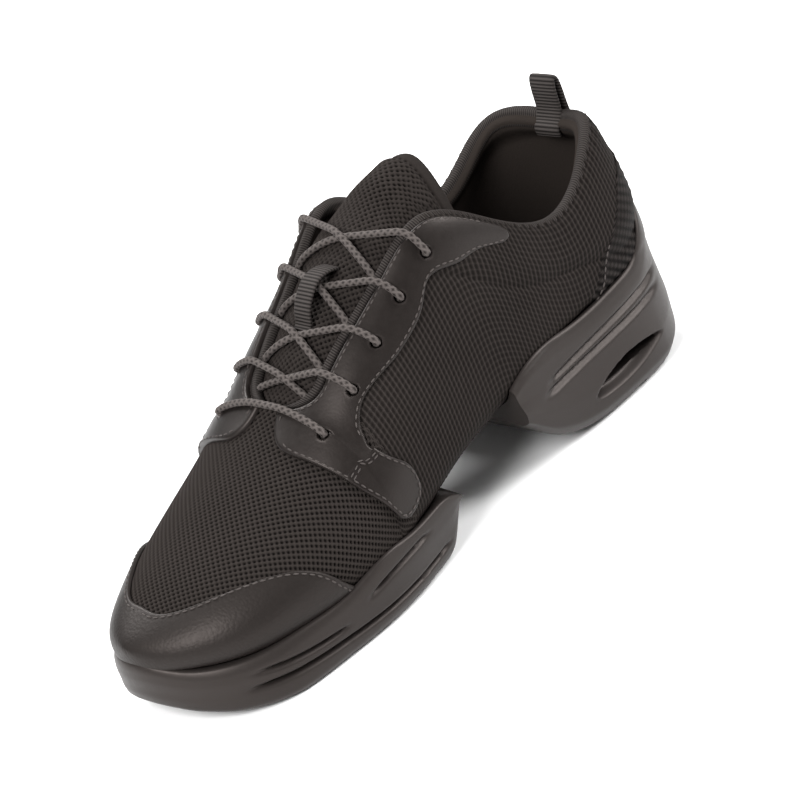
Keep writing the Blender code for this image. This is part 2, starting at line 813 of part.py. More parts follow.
def make_laces():
    q = float(turn(eyelet_share(0)))
    path = []
    for w in np.linspace(-1, 1, 11):
        row = 1 - abs(w) * (1 - EYELET_ROW_FIRST)
        path.append(skin(q, row, -1 if w < 0 else 1, LACE_OVER_STAY))
    rod(path, CORD, 6, "lace_bar", LACE)
    for i in range(EYELETS - 1):
        near = cord_path(eyelet_share(i + 1), -V_EYELET, eyelet_share(i) + 0.012, 0.38, LACE_LIFT[i], (0.25, 0.8), 6)
        far = cord_path(eyelet_share(i + 1), V_EYELET, eyelet_share(i) + 0.012, -0.38, LACE_LIFT[i], (0.25, 0.8), 6)
        one = rod(near, CORD, 6, "lace_cross_" + str(i + 1), LACE)
        two = rod(far, CORD, 6, "other", LACE)
        fuse(one, two)


make_laces()


# Keeper: webbing band over the third and fourth crossing
KEEPER_WIDTH = 0.20
KEEPER_SHIFT = -0.13
KEEPER_FROM = 0.410
KEEPER_TO = 0.482
KEEPER_HIGH = 0.0068
KEEPER_THICK = 0.0012


def make_keeper():
    shares = np.linspace(KEEPER_FROM, KEEPER_TO, 8)
    outer = []
    inner = []
    for t in shares:
        for v in np.linspace(-KEEPER_WIDTH / 2, KEEPER_WIDTH / 2, 3) + KEEPER_SHIFT:
            p, n = tongue_frame(t, v)
            inner.append(p + n * KEEPER_HIGH)
            outer.append(p + n * (KEEPER_HIGH + KEEPER_THICK))
    inner = np.array(inner)
    return shell("lace_keeper", inner, grid_faces(8, 3), np.array(outer), inner, WEBBING)


make_keeper()


# Pull loop: folded webbing over the back of the collar
LOOP_HALF = 0.006
LOOP_THICK = 0.0014
LOOP_TOP = 0.0165


def loop_column(k):
    """Middle line of the band across its width; k from -1 to 1."""
    side = -1 if k < 0 else 1
    target = abs(k) * LOOP_HALF
    a = 0.85
    b = 1.0
    for _ in range(24):
        mid = (a + b) / 2
        if abs(float(surface(mid, 0.95, side)[1] - surface(1.0, 0.95, side)[1])) > target:
            a = mid
        else:
            b = mid
    q = (a + b) / 2
    out = []
    for s in (0.72, 0.84, 0.94, 1.0):
        out.append(skin(q, s, side, CLEAR + 0.0001))
    for s in (1.0, 0.94, 0.84, 0.72):
        out.append(skin(q, s, side, -(WALL + float(padding(q, s)) + CLEAR + 0.0001 + LOOP_THICK)))
    back = out[3]
    front = out[4]
    centre = (back + front) / 2
    arch = []
    half = (back[0] - front[0]) / 2
    for ang in np.linspace(0, math.pi, 6):
        flat = np.array([half * (0.25 + 0.66 * math.cos(ang)), 0, 0])
        rise = LOOP_TOP * (0.45 + 0.55 * math.sin(ang))
        arch.append(centre + flat + np.array([0, 0, rise]))
    return np.array(out[:4] + arch + out[4:])


def make_loop():
    columns = [loop_column(k) for k in (-1.0, -0.5, 0.0, 0.5, 1.0)]
    points = np.array(columns)
    along = np.gradient(points, axis=1)
    across = np.gradient(points, axis=0)
    n = unit(np.cross(across, along))
    centre = points.mean(axis=(0, 1))
    flip = np.sign(((points - centre) * n)[..., [0, 2]].sum(-1, keepdims=True).mean())
    outer = points + n * flip * LOOP_THICK
    rows, cols = points.shape[:2]
    flat = points.reshape(-1, 3)
    return shell("pull_loop", flat, grid_faces(rows, cols), outer.reshape(-1, 3), flat, WEBBING)


make_loop()
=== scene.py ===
"""Looks of the dance sneaker: fabrics, leather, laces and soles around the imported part.

Metres, +Z up, toe at -X, lateral side at -Y. The shape functions repeat the part's own.
"""
import math

import bmesh
import bpy
import numpy as np
from mathutils import Matrix, Vector


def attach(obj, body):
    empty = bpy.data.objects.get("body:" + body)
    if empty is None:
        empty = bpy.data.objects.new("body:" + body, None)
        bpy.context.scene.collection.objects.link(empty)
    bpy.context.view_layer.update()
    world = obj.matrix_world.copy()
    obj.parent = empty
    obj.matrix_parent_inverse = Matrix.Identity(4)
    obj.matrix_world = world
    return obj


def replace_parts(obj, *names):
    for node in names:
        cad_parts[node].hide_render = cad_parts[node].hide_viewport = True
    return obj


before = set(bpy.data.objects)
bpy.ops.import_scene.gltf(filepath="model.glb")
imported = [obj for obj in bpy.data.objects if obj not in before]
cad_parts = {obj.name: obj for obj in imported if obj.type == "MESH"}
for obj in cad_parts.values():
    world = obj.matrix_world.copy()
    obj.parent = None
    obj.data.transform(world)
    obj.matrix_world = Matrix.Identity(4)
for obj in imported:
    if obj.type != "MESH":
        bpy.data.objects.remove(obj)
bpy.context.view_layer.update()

# Main sizes of the last with its upper over it
LENGTH = 0.262
BALL = 0.096
SEAT = 0.036
CROWN = 0.100
SHIFT_X = 0.00165
SHIFT_Y = -0.00285

# Layers and clearances
WALL = 0.0024
COLLAR_PAD = 0.0042
CLEAR = 0.0003
FACET = 0.0003
OVERLAY = 0.0012
CORD = 0.0013
SIDES = ((-1, "lateral"), (1, "medial"))

# share of length | lateral, medial (of BALL) | floor, widest (of SEAT) | ridge, half opening (of BALL)
# | crown (of CROWN) | lean of the edge in degrees
STATIONS = [
    (0.00, 0.055, 0.055, 0.600, 0.710, 0.055, 0.161, 0.298, 0),
    (0.03, -0.162, 0.236, 0.550, 0.745, 0.078, 0.161, 0.358, 4),
    (0.08, -0.296, 0.324, 0.450, 0.735, 0.073, 0.160, 0.419, 10),
    (0.15, -0.376, 0.408, 0.363, 0.740, 0.056, 0.157, 0.486, 16),
    (0.23, -0.422, 0.470, 0.315, 0.745, 0.036, 0.149, 0.564, 20),
    (0.31, -0.443, 0.502, 0.312, 0.778, 0.017, 0.140, 0.665, 22),
    (0.40, -0.422, 0.470, 0.381, 0.880, 0.008, 0.164, 0.840, 24),
    (0.50, -0.392, 0.399, 0.560, 1.040, 0.006, 0.204, 0.990, 28),
    (0.60, -0.384, 0.340, 0.690, 1.150, -0.002, 0.256, 1.110, 40),
    (0.70, -0.380, 0.318, 0.830, 1.240, -0.008, 0.312, 0.940, 62),
    (0.80, -0.384, 0.332, 0.944, 1.280, -0.012, 0.328, 0.805, 74),
    (0.90, -0.370, 0.298, 0.985, 1.300, -0.018, 0.300, 0.920, 80),
    (0.97, -0.276, 0.160, 0.990, 1.320, -0.036, 0.206, 0.990, 84),
    (1.00, -0.046, -0.046, 0.990, 1.330, -0.046, 0.000, 0.970, 86),
]
THROAT_FRONT = 0.335
THROAT_FULL = 0.375
THROAT_DROP = 0.0028

# height over the floor | set-back of the heel's rear seam
BACK = [
    (0.030, -0.0060), (0.045, -0.0035), (0.060, -0.0030), (0.080, -0.0062),
    (0.100, -0.0112), (0.118, -0.0120), (0.130, -0.0120),
]


def natural_spline(xs, ys, x):
    """Natural cubic through a short table."""
    xs = np.asarray(xs, float)
    ys = np.asarray(ys, float)
    n = len(xs)
    h = np.diff(xs)
    a = np.zeros((n, n))
    b = np.zeros(n)
    a[0, 0] = 1
    a[-1, -1] = 1
    for i in range(1, n - 1):
        a[i, i - 1:i + 2] = h[i - 1], 2 * (h[i - 1] + h[i]), h[i]
        b[i] = 6 * ((ys[i + 1] - ys[i]) / h[i] - (ys[i] - ys[i - 1]) / h[i - 1])
    m = np.linalg.solve(a, b)
    i = np.clip(np.searchsorted(xs, x) - 1, 0, n - 2)
    u = (x - xs[i]) / h[i]
    cubic = ((1 - u) ** 3 - (1 - u)) * m[i] + (u ** 3 - u) * m[i + 1]
    return (1 - u) * ys[i] + u * ys[i + 1] + h[i] ** 2 / 6 * cubic


def from_table(table, x):
    table = np.array(table)
    return natural_spline(table[:, 0], table[:, 1], x)


def turn(share):
    """Length share to the even turn q that rounds both ends."""
    return np.arccos(1 - 2 * np.clip(np.asarray(share, float), 0, 1)) / np.pi


def share(q):
    return (1 - np.cos(np.pi * np.asarray(q, float))) / 2


def smooth(x, a, b):
    u = np.clip((np.asarray(x, float) - a) / (b - a), 0, 1)
    return u * u * (3 - 2 * u)


def bezier(p0, p1, p2, p3, u):
    return (1 - u) ** 3 * p0 + 3 * u * (1 - u) ** 2 * p1 + 3 * u * u * (1 - u) * p2 + u ** 3 * p3


SCALES = (1, BALL, BALL, SEAT, SEAT, BALL, BALL, CROWN, 1)
TABLE = np.array(STATIONS) * np.array(SCALES)
TURNS = turn(TABLE[:, 0])
REAR = np.array(BACK)


def column(q, i):
    return natural_spline(TURNS, TABLE[:, i], q)


def opened(t):
    """0 in front of the throat, 1 along it, round between."""
    k = (THROAT_FULL - np.clip(t, THROAT_FRONT, THROAT_FULL)) / (THROAT_FULL - THROAT_FRONT)
    return np.sqrt(np.clip(1 - k * k, 0, 1))


def surface(q, s, side):
    """The upper's outside. s: -1 middle of the underside, 0 widest, 1 top edge or ridge."""
    q, s, side = np.broadcast_arrays(np.asarray(q, float), np.asarray(s, float), np.asarray(side, float))
    t = share(q)
    wide_y = np.where(side < 0, column(q, 1), column(q, 2))
    floor = column(q, 3)
    wide_z = column(q, 4)
    ridge = column(q, 5)
    u = opened(t)
    edge_y = ridge + side * column(q, 6) * u
    edge_z = column(q, 7) - THROAT_DROP * u ** 2
    lean = np.radians(column(q, 8)) * u
    up = np.clip(s, 0, 1)
    down = np.clip(-s, 0, 1)
    reach = np.abs(wide_y - edge_y)
    k = 0.58
    y_up = bezier(wide_y, wide_y, edge_y + side * reach * k * np.cos(lean), edge_y, up)
    z_up = bezier(wide_z, wide_z + (edge_z - wide_z) * k, edge_z - reach * k * np.sin(lean), edge_z, up)
    y_down = bezier(wide_y, wide_y, ridge + (wide_y - ridge) * 0.62, ridge, down)
    z_down = bezier(wide_z, wide_z + (floor - wide_z) * 0.72, floor, floor, down)
    y = np.where(s >= 0, y_up, y_down)
    z = np.where(s >= 0, z_up, z_down)
    ramp = smooth(q, 0.72, 1.0)
    x = (t - 0.5) * LENGTH + ramp * natural_spline(REAR[:, 0], REAR[:, 1], np.clip(z, 0.030, 0.130))
    return np.stack([x + SHIFT_X, y + SHIFT_Y, z], -1)


def unit(v):
    return v / np.maximum(np.linalg.norm(v, axis=-1, keepdims=True), 1e-12)


def one_normal(q, s, side):
    e = 0.004
    along = surface(q + e, s, side) - surface(q - e, s, side)
    around = surface(q, s + e, side) - surface(q, s - e, side)
    return unit(np.cross(along, around) * side[..., None] * -1)


def normal(q, s, side):
    """Outward direction of the upper's outside; both sides agree where they meet."""
    q, s, side = np.broadcast_arrays(np.asarray(q, float), np.asarray(s, float), np.asarray(side, float))
    qc = np.clip(q, 0.03, 0.985)
    sc = np.clip(s, -0.96, 0.97)
    n = one_normal(qc, sc, side)
    shared = (q <= 1e-6) | (q >= 1 - 1e-6) | (s < -0.999)
    shared = shared | ((s > 0.999) & (opened(share(q)) < 1e-6))
    both = n + one_normal(qc, sc, -side)
    return unit(np.where(shared[..., None], both, n))


def skin(q, s, side, off):
    off = np.asarray(off, float)
    return surface(q, s, side) + normal(q, s, side) * off[..., None]


def at_height(q, z, side, low=-0.55, high=0.95):
    """Row of the upper's side that lies at a height."""
    q, z = np.broadcast_arrays(np.asarray(q, float), np.asarray(z, float))
    a = np.full(q.shape, low)
    b = np.full(q.shape, high)
    for _ in range(22):
        mid = (a + b) / 2
        over = surface(q, mid, side)[..., 2] > z
        b = np.where(over, mid, b)
        a = np.where(over, a, mid)
    return (a + b) / 2


def padding(q, s):
    """Extra wall along the padded collar."""
    t = share(q)
    return COLLAR_PAD * smooth(t, 0.56, 0.66) * smooth(s, 0.50, 0.74) * (1 - 0.75 * smooth(s, 0.86, 1.0))


# Distances on the cloth
def path_lengths(points):
    steps = np.linalg.norm(np.diff(points, axis=0), axis=1)
    return np.concatenate([[0], np.cumsum(steps)])


def turns_by_distance(first, last, step, side, row=0.25):
    """Turns at even distances along one row, and those distances."""
    fine = np.linspace(float(turn(first)), float(turn(last)), 900)
    lengths = path_lengths(surface(fine, row, side))
    count = int(round(lengths[-1] / step)) + 1
    where = np.linspace(0, lengths[-1], count)
    return np.interp(where, lengths, fine), where


def row_lengths(points):
    """Distances along each row of a grid of points."""
    steps = np.linalg.norm(np.diff(points, axis=1), axis=2)
    return np.concatenate([np.zeros((len(points), 1)), np.cumsum(steps, axis=1)], 1)


def rows_by_distance(q, distance, side, low=-1.0):
    """Rows at distances down from the top edge, for each turn."""
    s = np.linspace(1.0, low, 260)
    lengths = row_lengths(surface(q[:, None], s[None, :], side))
    return np.array([np.interp(distance, lengths[i], s) for i in range(len(q))])


def grid_faces(rows, cols, base=0):
    i, j = np.meshgrid(np.arange(rows - 1), np.arange(cols - 1), indexing="ij")
    k = (base + i * cols + j).ravel()
    return np.stack([k, k + 1, k + cols + 1, k + cols], 1)


def ring_faces(rows, cols, base=0):
    """Faces of a tube, one closed ring of points after the other."""
    i, j = np.meshgrid(np.arange(rows - 1), np.arange(cols), indexing="ij")
    k = base + i * cols
    m = (j + 1) % cols
    return np.stack([k + j, k + m, k + cols + m, k + cols + j], -1).reshape(-1, 4)


def smooth_path(points, step):
    """Smooth curve through points, and the even distances along it."""
    k = path_lengths(points)
    w = np.linspace(0, k[-1], int(k[-1] / step))
    return np.stack([natural_spline(k, points[:, i], w) for i in range(3)], 1), w


def linked(name, data):
    obj = bpy.data.objects.new(name, data)
    bpy.context.scene.collection.objects.link(obj)
    return obj


def new_mesh(name, points, faces, relief_shading=None):
    mesh = bpy.data.meshes.new(name)
    mesh.from_pydata(points, [], faces)
    if relief_shading is not None:
        value = mesh.attributes.new("relief_shading", "FLOAT", "POINT")
        value.data.foreach_set("value", np.asarray(relief_shading, np.float32).ravel())
    return mesh


def clean(mesh, seams=None, slivers=None, turn_out=True):
    """Joins points closer than seams, drops slivers, and turns the faces outwards."""
    bm = bmesh.new()
    bm.from_mesh(mesh)
    if seams:
        bmesh.ops.remove_doubles(bm, verts=bm.verts, dist=seams)
    if slivers:
        bmesh.ops.dissolve_degenerate(bm, edges=bm.edges, dist=slivers)
    if turn_out:
        bmesh.ops.recalc_face_normals(bm, faces=bm.faces)
    bm.to_mesh(mesh)
    bm.free()


def add_piece(name, points, faces, finish, outward=None, relief_shading=None):
    """Mesh piece with smooth faces that look along outward; relief is kept as a point value."""
    points = np.asarray(points, float).reshape(-1, 3)
    if outward is not None:
        outward = outward.reshape(-1, 3)
        a = points[faces[:, 2]] - points[faces[:, 0]]
        b = points[faces[:, 3]] - points[faces[:, 1]]
        if float((np.cross(a, b) * outward[faces[:, 0]]).sum()) < 0:
            faces = faces[:, ::-1]
    mesh = new_mesh(name, points.tolist(), faces.tolist(), relief_shading)
    clean(mesh, seams=1e-6, turn_out=outward is None)
    mesh.polygons.foreach_set("use_smooth", [True] * len(mesh.polygons))
    mesh.materials.append(finish)
    obj = linked(name, mesh)
    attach(obj, "root")
    return obj


def both_sides(name, half, finish):
    """Piece of two halves; half(side) gives a grid of points, outward directions and relief."""
    halves = [half(side) for side in (-1, 1)]
    faces = []
    base = 0
    for k, (points, _, _) in enumerate(halves):
        rows, cols = points.shape[:2]
        grid = grid_faces(rows, cols, base)
        faces.append(grid[:, ::-1] if k else grid)
        base += rows * cols
    points, outward, relief_shading = [
        None if part[0] is None else np.concatenate([np.asarray(x).reshape(len(x) * x.shape[1], -1) for x in part])
        for part in zip(*halves)
    ]
    return add_piece(name, points, np.concatenate(faces), finish, outward, relief_shading)


# Materials
SPECULAR_TINT = (1.0, 0.88, 0.83, 1.0)
TONE_SPREAD = 0.25
CLOUD_SCALE = 28
BUMP_HEIGHT = 0.0003


def link(tree, a, out, b, into):
    tree.links.new(a.outputs[out], b.inputs[into])


def add_node(tree, kind, **values):
    node = tree.nodes.new("ShaderNode" + kind)
    for name, value in values.items():
        node.inputs[name].default_value = value
    return node


def scaled_sum(tree, source, other):
    """source times the tone's spread, plus other."""
    node = add_node(tree, "Math")
    node.operation = "MULTIPLY_ADD"
    node.inputs[1].default_value = TONE_SPREAD
    link(tree, source, "Fac", node, 0)
    link(tree, other, "Value", node, 2)
    return node


def finish(name, deep, high, rough, grain, bump, shine):
    """Two-tone surface: the stored height of the surface's bumps and a fine grain choose the tone, and the grain
    also lifts the surface. Where the stored height is low the deep tone is painted shade; where it is high the high
    tone is a painted highlight.
    """
    m = bpy.data.materials.new(name)
    m.use_nodes = True
    tree = m.node_tree
    shader = tree.nodes["Principled BSDF"]
    shader.inputs["Specular IOR Level"].default_value = shine
    shader.inputs["Specular Tint"].default_value = SPECULAR_TINT
    place = add_node(tree, "TexCoord")
    noise = add_node(tree, "TexNoise", Scale=grain, Detail=3)
    link(tree, place, "Object", noise, "Vector")
    cloud = add_node(tree, "TexNoise", Scale=CLOUD_SCALE, Detail=2)
    link(tree, place, "Object", cloud, "Vector")
    # point value that paints shade into recesses and highlights onto crests
    relief_shading = add_node(tree, "Attribute")
    relief_shading.attribute_name = "relief_shading"
    centred = add_node(tree, "Math")
    centred.operation = "SUBTRACT"
    centred.inputs[1].default_value = TONE_SPREAD
    link(tree, relief_shading, "Fac", centred, 0)
    tone = scaled_sum(tree, noise, centred)
    tone = scaled_sum(tree, cloud, tone)
    mix = add_node(tree, "Mix")
    mix.data_type = "RGBA"
    mix.inputs["A"].default_value = (*deep, 1)
    mix.inputs["B"].default_value = (*high, 1)
    link(tree, tone, "Value", mix, "Factor")
    link(tree, mix, "Result", shader, "Base Color")
    gloss = add_node(tree, "MapRange")
    gloss.inputs["To Min"].default_value = rough - 0.06
    gloss.inputs["To Max"].default_value = rough + 0.10
    link(tree, noise, "Fac", gloss, "Value")
    link(tree, gloss, "Result", shader, "Roughness")
    lift = add_node(tree, "Bump", Strength=bump, Distance=BUMP_HEIGHT)
    link(tree, noise, "Fac", lift, "Height")
    link(tree, lift, "Normal", shader, "Normal")
    return m


def pebbled(m, size, strength):
    """Adds leather cells to a finish."""
    tree = m.node_tree
    shader = tree.nodes["Principled BSDF"]
    place = add_node(tree, "TexCoord")
    cells = add_node(tree, "TexVoronoi", Scale=1 / size)
    cells.feature = "SMOOTH_F1"
    cells.inputs["Smoothness"].default_value = 0.5
    link(tree, place, "Object", cells, "Vector")
    lift = add_node(tree, "Bump", Strength=strength, Distance=BUMP_HEIGHT)
    lift.invert = True
    link(tree, cells, "Distance", lift, "Height")
    first = shader.inputs["Normal"].links[0].from_node
    link(tree, first, "Normal", lift, "Normal")
    link(tree, lift, "Normal", shader, "Normal")


# deep tone (painted shade in recesses), high tone (painted highlight on crests), roughness, scale of the grain,
# bump, specular level
# near black, painted as shade in the holes and valleys of the mesh and heel cloth
SHADE_BLACK = (0.0006, 0.0005, 0.0005)
MESH_CLOTH = finish("mesh_cloth", SHADE_BLACK, (0.0250, 0.0210, 0.0192), 0.66, 4200, 0.35, 0.03)
RIB_CLOTH = finish("rib_cloth", (0.0032, 0.0026, 0.0023), (0.0310, 0.0262, 0.0240), 0.66, 4000, 0.35, 0.04)
HEEL_CLOTH = finish("heel_cloth", SHADE_BLACK, (0.0340, 0.0294, 0.0276), 0.66, 4000, 0.35, 0.05)
KNIT = finish("binding_knit", (0.0030, 0.0026, 0.0024), (0.0480, 0.0418, 0.0392), 0.66, 4500, 0.4, 0.08)
LINING = finish("lining_cloth_finish", (0.0260, 0.0212, 0.0186), (0.0480, 0.0396, 0.0352), 0.85, 1600, 0.6, 0.03)
HIDE = finish("smooth_hide", (0.0066, 0.0053, 0.0048), (0.0120, 0.0098, 0.0090), 0.38, 420, 0.10, 0.24)
pebbled(HIDE, 0.0009, 0.06)
CAP = finish("cap_hide", (0.0080, 0.0066, 0.0060), (0.0162, 0.0135, 0.0124), 0.44, 900, 0.15, 0.22)
pebbled(CAP, 0.0010, 0.20)
RUBBER = finish("sole_foam", (0.0138, 0.0115, 0.0106), (0.0196, 0.0165, 0.0153), 0.40, 900, 0.05, 0.26)
BRAID = finish("lace_braid", (0.0040, 0.0034, 0.0031), (0.0880, 0.0765, 0.0720), 0.60, 5000, 0.4, 0.12)
GROSGRAIN = finish("grosgrain", (0.0030, 0.0026, 0.0024), (0.0560, 0.0494, 0.0468), 0.62, 5000, 0.35, 0.10)
THREAD = finish("stitch_thread", (0.0200, 0.0173, 0.0163), (0.0950, 0.0830, 0.0785), 0.52, 3000, 0.2, 0.14)


# Vamp: spacer mesh with staggered holes, over the toes as far as the eyestays
HOLE_PITCH = 0.0024
HOLE_ROW = 0.0013
HOLE_DEPTH = 0.0008
VAMP_FIRST = 0.035
VAMP_LAST = 0.372
VAMP_REACH = 0.086


def mesh_relief(u, v):
    # low in each hole, so the finish paints the holes near black as shade
    hole = np.cos(2 * np.pi * u / HOLE_PITCH) * np.cos(np.pi * v / HOLE_ROW)
    return 1 - smooth(hole, 0.0, 0.72)


def vamp_half(side):
    q, u = turns_by_distance(VAMP_FIRST, VAMP_LAST, HOLE_PITCH / 6, -1, row=0.6)
    v = np.arange(0, VAMP_REACH, HOLE_ROW / 3)
    down = v[None, :] - (column(q, 6) * opened(share(q)))[:, None]
    s = [rows_by_distance(q[i:i + 1], np.clip(down[i], 0, None), side, -0.30)[0] for i in range(len(q))]
    qs = np.repeat(q[:, None], len(v), 1)
    r = mesh_relief(u[:, None], v[None, :])
    n = normal(qs, s, side)
    return surface(qs, s, side) + n * ((r - 0.9) * HOLE_DEPTH)[..., None], n, r


vamp = both_sides("vamp_mesh", vamp_half, MESH_CLOTH)
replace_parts(vamp, "upper")


# Quarters: ribbed cloth, with the padded collar's crease
QUARTER_FIRST = 0.362
QUARTER_REACH = 0.108
RIB = 0.0020
CROSS = 0.0024
RIB_HIGH = 0.00026
PAD_HIGH = 0.0016
PUCKER = 0.0034
PUCKER_HIGH = 0.00035
# share of length | row of the crease under the padded collar
CREASE = [
    (0.54, 0.62), (0.58, 0.52), (0.62, 0.41), (0.67, 0.31), (0.73, 0.26), (0.79, 0.225), (0.83, 0.15), (0.88, 0.05),
]


def crease_row(t):
    return from_table(CREASE, np.clip(t, CREASE[0][0], CREASE[-1][0]))


def pad_swell(t, s):
    """Height of the padding over the cloth, with a sunk line under it."""
    over = s - crease_row(t)
    swell = PAD_HIGH * smooth(over, -0.01, 0.16) * (1 - 0.6 * smooth(s, 0.70, 0.97))
    line = -0.0007 * np.exp(-(over / 0.022) ** 2)
    return (swell + line) * smooth(t, 0.545, 0.60)


def rib_relief(u, v):
    # the finish paints the rib valleys as shade and the rib crests as highlight
    rib = (0.5 + 0.5 * np.cos(2 * np.pi * u / RIB)) ** 3
    cross = (0.5 + 0.5 * np.cos(2 * np.pi * v / CROSS)) ** 3
    return 0.10 + 0.90 * np.clip(rib * (0.80 + 0.20 * cross) + 0.28 * cross, 0, 1)


def make_quarter(side, name):
    q, u = turns_by_distance(QUARTER_FIRST, 1.0, RIB / 5, side, row=0.35)
    u = u[-1] - u
    v = np.arange(0, QUARTER_REACH, CROSS / 4)
    s = rows_by_distance(q, v, side)
    qs = np.repeat(q[:, None], len(v), 1)
    t = share(qs)
    r = rib_relief(u[:, None], v[None, :])
    wave = np.cos(2 * np.pi * u[:, None] / PUCKER)
    pucker = PUCKER_HIGH * wave * np.exp(-v[None, :] / 0.004) * smooth(t, 0.70, 0.76)
    n = normal(qs, s, side)
    high = (r - 0.9) * RIB_HIGH + pad_swell(t, s) + pucker
    points = surface(qs, s, side) + n * high[..., None]
    return add_piece(name, points, grid_faces(len(q), len(v)), RIB_CLOTH, n, r)


for side, label in SIDES:
    piece = make_quarter(side, "quarter_" + label)
    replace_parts(piece, "upper")


# Heel panels: coarse ribs beside the cup
# share of length, row of the front edge
HEEL_EDGE = [(0.795, -0.30), (0.836, 0.10), (0.871, 0.215), (0.904, 0.31), (0.950, 0.42), (1.000, 0.50)]
COARSE = 0.0030
COARSE_CROSS = 0.0022
COARSE_HIGH = 0.0003


def make_heel_panel(side, name):
    tab = np.array(HEEL_EDGE)
    rows = 70
    cols = 110
    w = np.linspace(0, 1, rows)
    s_edge = tab[0, 1] + (tab[-1, 1] - tab[0, 1]) * w
    q_edge = natural_spline(tab[:, 1], turn(tab[:, 0]), s_edge)
    a = np.linspace(0, 1, cols)
    qs = q_edge[:, None] + (1 - q_edge[:, None]) * a[None, :]
    s = np.repeat(s_edge[:, None], cols, 1)
    base = surface(qs, s, side)
    down = base[..., 2] * 0.8 + base[..., 0] * 0.6
    level = base[..., 2] * 0.6 - base[..., 0] * 0.8
    # r also sets the tone: painted shade between the coarse ribs, painted highlight on them
    r = np.clip((0.5 + 0.5 * np.cos(2 * np.pi * down / COARSE)) ** 1.3, 0, 1)
    r = r * (0.75 + 0.25 * np.cos(2 * np.pi * level / COARSE_CROSS))
    n = normal(qs, s, side)
    rim = smooth(a, 0, 0.03)[None, :]
    high = pad_swell(share(qs), s) + 0.0007 * rim + (r - 0.5) * COARSE_HIGH * rim - 0.0002
    return add_piece(name, base + n * high[..., None], grid_faces(rows, cols), HEEL_CLOTH, n, r)


for side, label in SIDES:
    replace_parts(make_heel_panel(side, "heel_panel_" + label), "upper")


# Lining: the inside of the upper
def lining_half(side):
    q = np.linspace(0.03, 1, 150)
    v = np.concatenate([np.arange(0, 0.030, 0.0009), np.arange(0.030, 0.118, 0.0024)])
    s = rows_by_distance(q, v, side)
    qs = np.repeat(q[:, None], len(v), 1)
    n = normal(qs, s, side)
    return surface(qs, s, side) - n * (WALL + padding(qs, s))[..., None], -n, None


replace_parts(both_sides("lining", lining_half, LINING), "upper")


# Binding: knitted roll along the throat and the collar
BIND_RIB = 0.0009
BIND_FIRST = 0.3352
BIND_STEP = 0.00024


def make_binding(side, name):
    q, u = turns_by_distance(BIND_FIRST, 1.0, BIND_STEP, side, row=1.0)
    t = share(q)
    width = 0.0026 + 0.0006 * smooth(t, 0.52, 0.62)
    fine = np.linspace(1.0, 0.80, 40)
    pts = surface(q[:, None], fine[None, :], side)
    run = row_lengths(pts)
    low = np.array([np.interp(width[i], run[i], fine) for i in range(len(q))])
    top = surface(q, 1.0 + 0 * q, side)
    n_top = normal(q, 0.985 + 0 * q, side)
    up = unit(top - surface(q, 0.97 + 0 * q, side))
    thick = WALL + padding(q, 1.0 + 0 * q)
    r = 0.5 + 0.5 * np.cos(2 * np.pi * u / BIND_RIB)
    fat = 0.0004 + 0.00018 * r
    outer_leg = skin(q, low, side, fat * 0.6)
    outer_mid = skin(q, (1 + low) / 2, side, fat)
    half = thick / 2 + fat
    mid = top - n_top * (thick / 2)[:, None]
    rings = [skin(q, low, side, 0 * q - 0.0004), outer_leg, outer_mid]
    for a in np.linspace(0, math.pi, 9):
        rise = (0.0010 + 0.0004 * smooth(t, 0.52, 0.62)) * math.sin(a)
        rings.append(mid + n_top * (half * math.cos(a))[:, None] + up * rise[:, None])
    for row, over in ((low - 0.02, fat), (low - 0.02 - 0.01, -0.0003)):
        rings.append(skin(q, row, side, -(WALL + padding(q, row) + over)))
    points = np.stack(rings, 1)
    cols = points.shape[1]
    out = points - mid[:, None, :] + 1e-6 * n_top[:, None, :]
    # tone follows the knit ribs: painted shade between them, painted highlight on them
    value = np.repeat(r[:, None], cols, 1)
    # painted shade on the two rings where the roll tucks in against the upper
    value[:, :2] *= 0.3
    return add_piece(name, points, grid_faces(len(q), cols), KNIT, out, value)


for side, label in SIDES:
    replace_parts(make_binding(side, "binding_" + label), "upper")


# Leather: bands and patches between two rails, with rounded borders
def edged(count, length, rim=0.0009):
    """Even parameters with closer ones at both borders."""
    ends = np.array([0, 0.08, 0.25, 0.5, 0.8]) * rim / length
    return np.concatenate([ends, np.linspace(rim * 1.2 / length, 1 - rim * 1.2 / length, count), 1 - ends[::-1]])


def rounded(a, length, rim=0.0009):
    d = np.minimum(a, 1 - a) * length
    k = 1 - np.clip(d / rim, 0, 1)
    return np.sqrt(np.clip(1 - k * k, 0, 1))


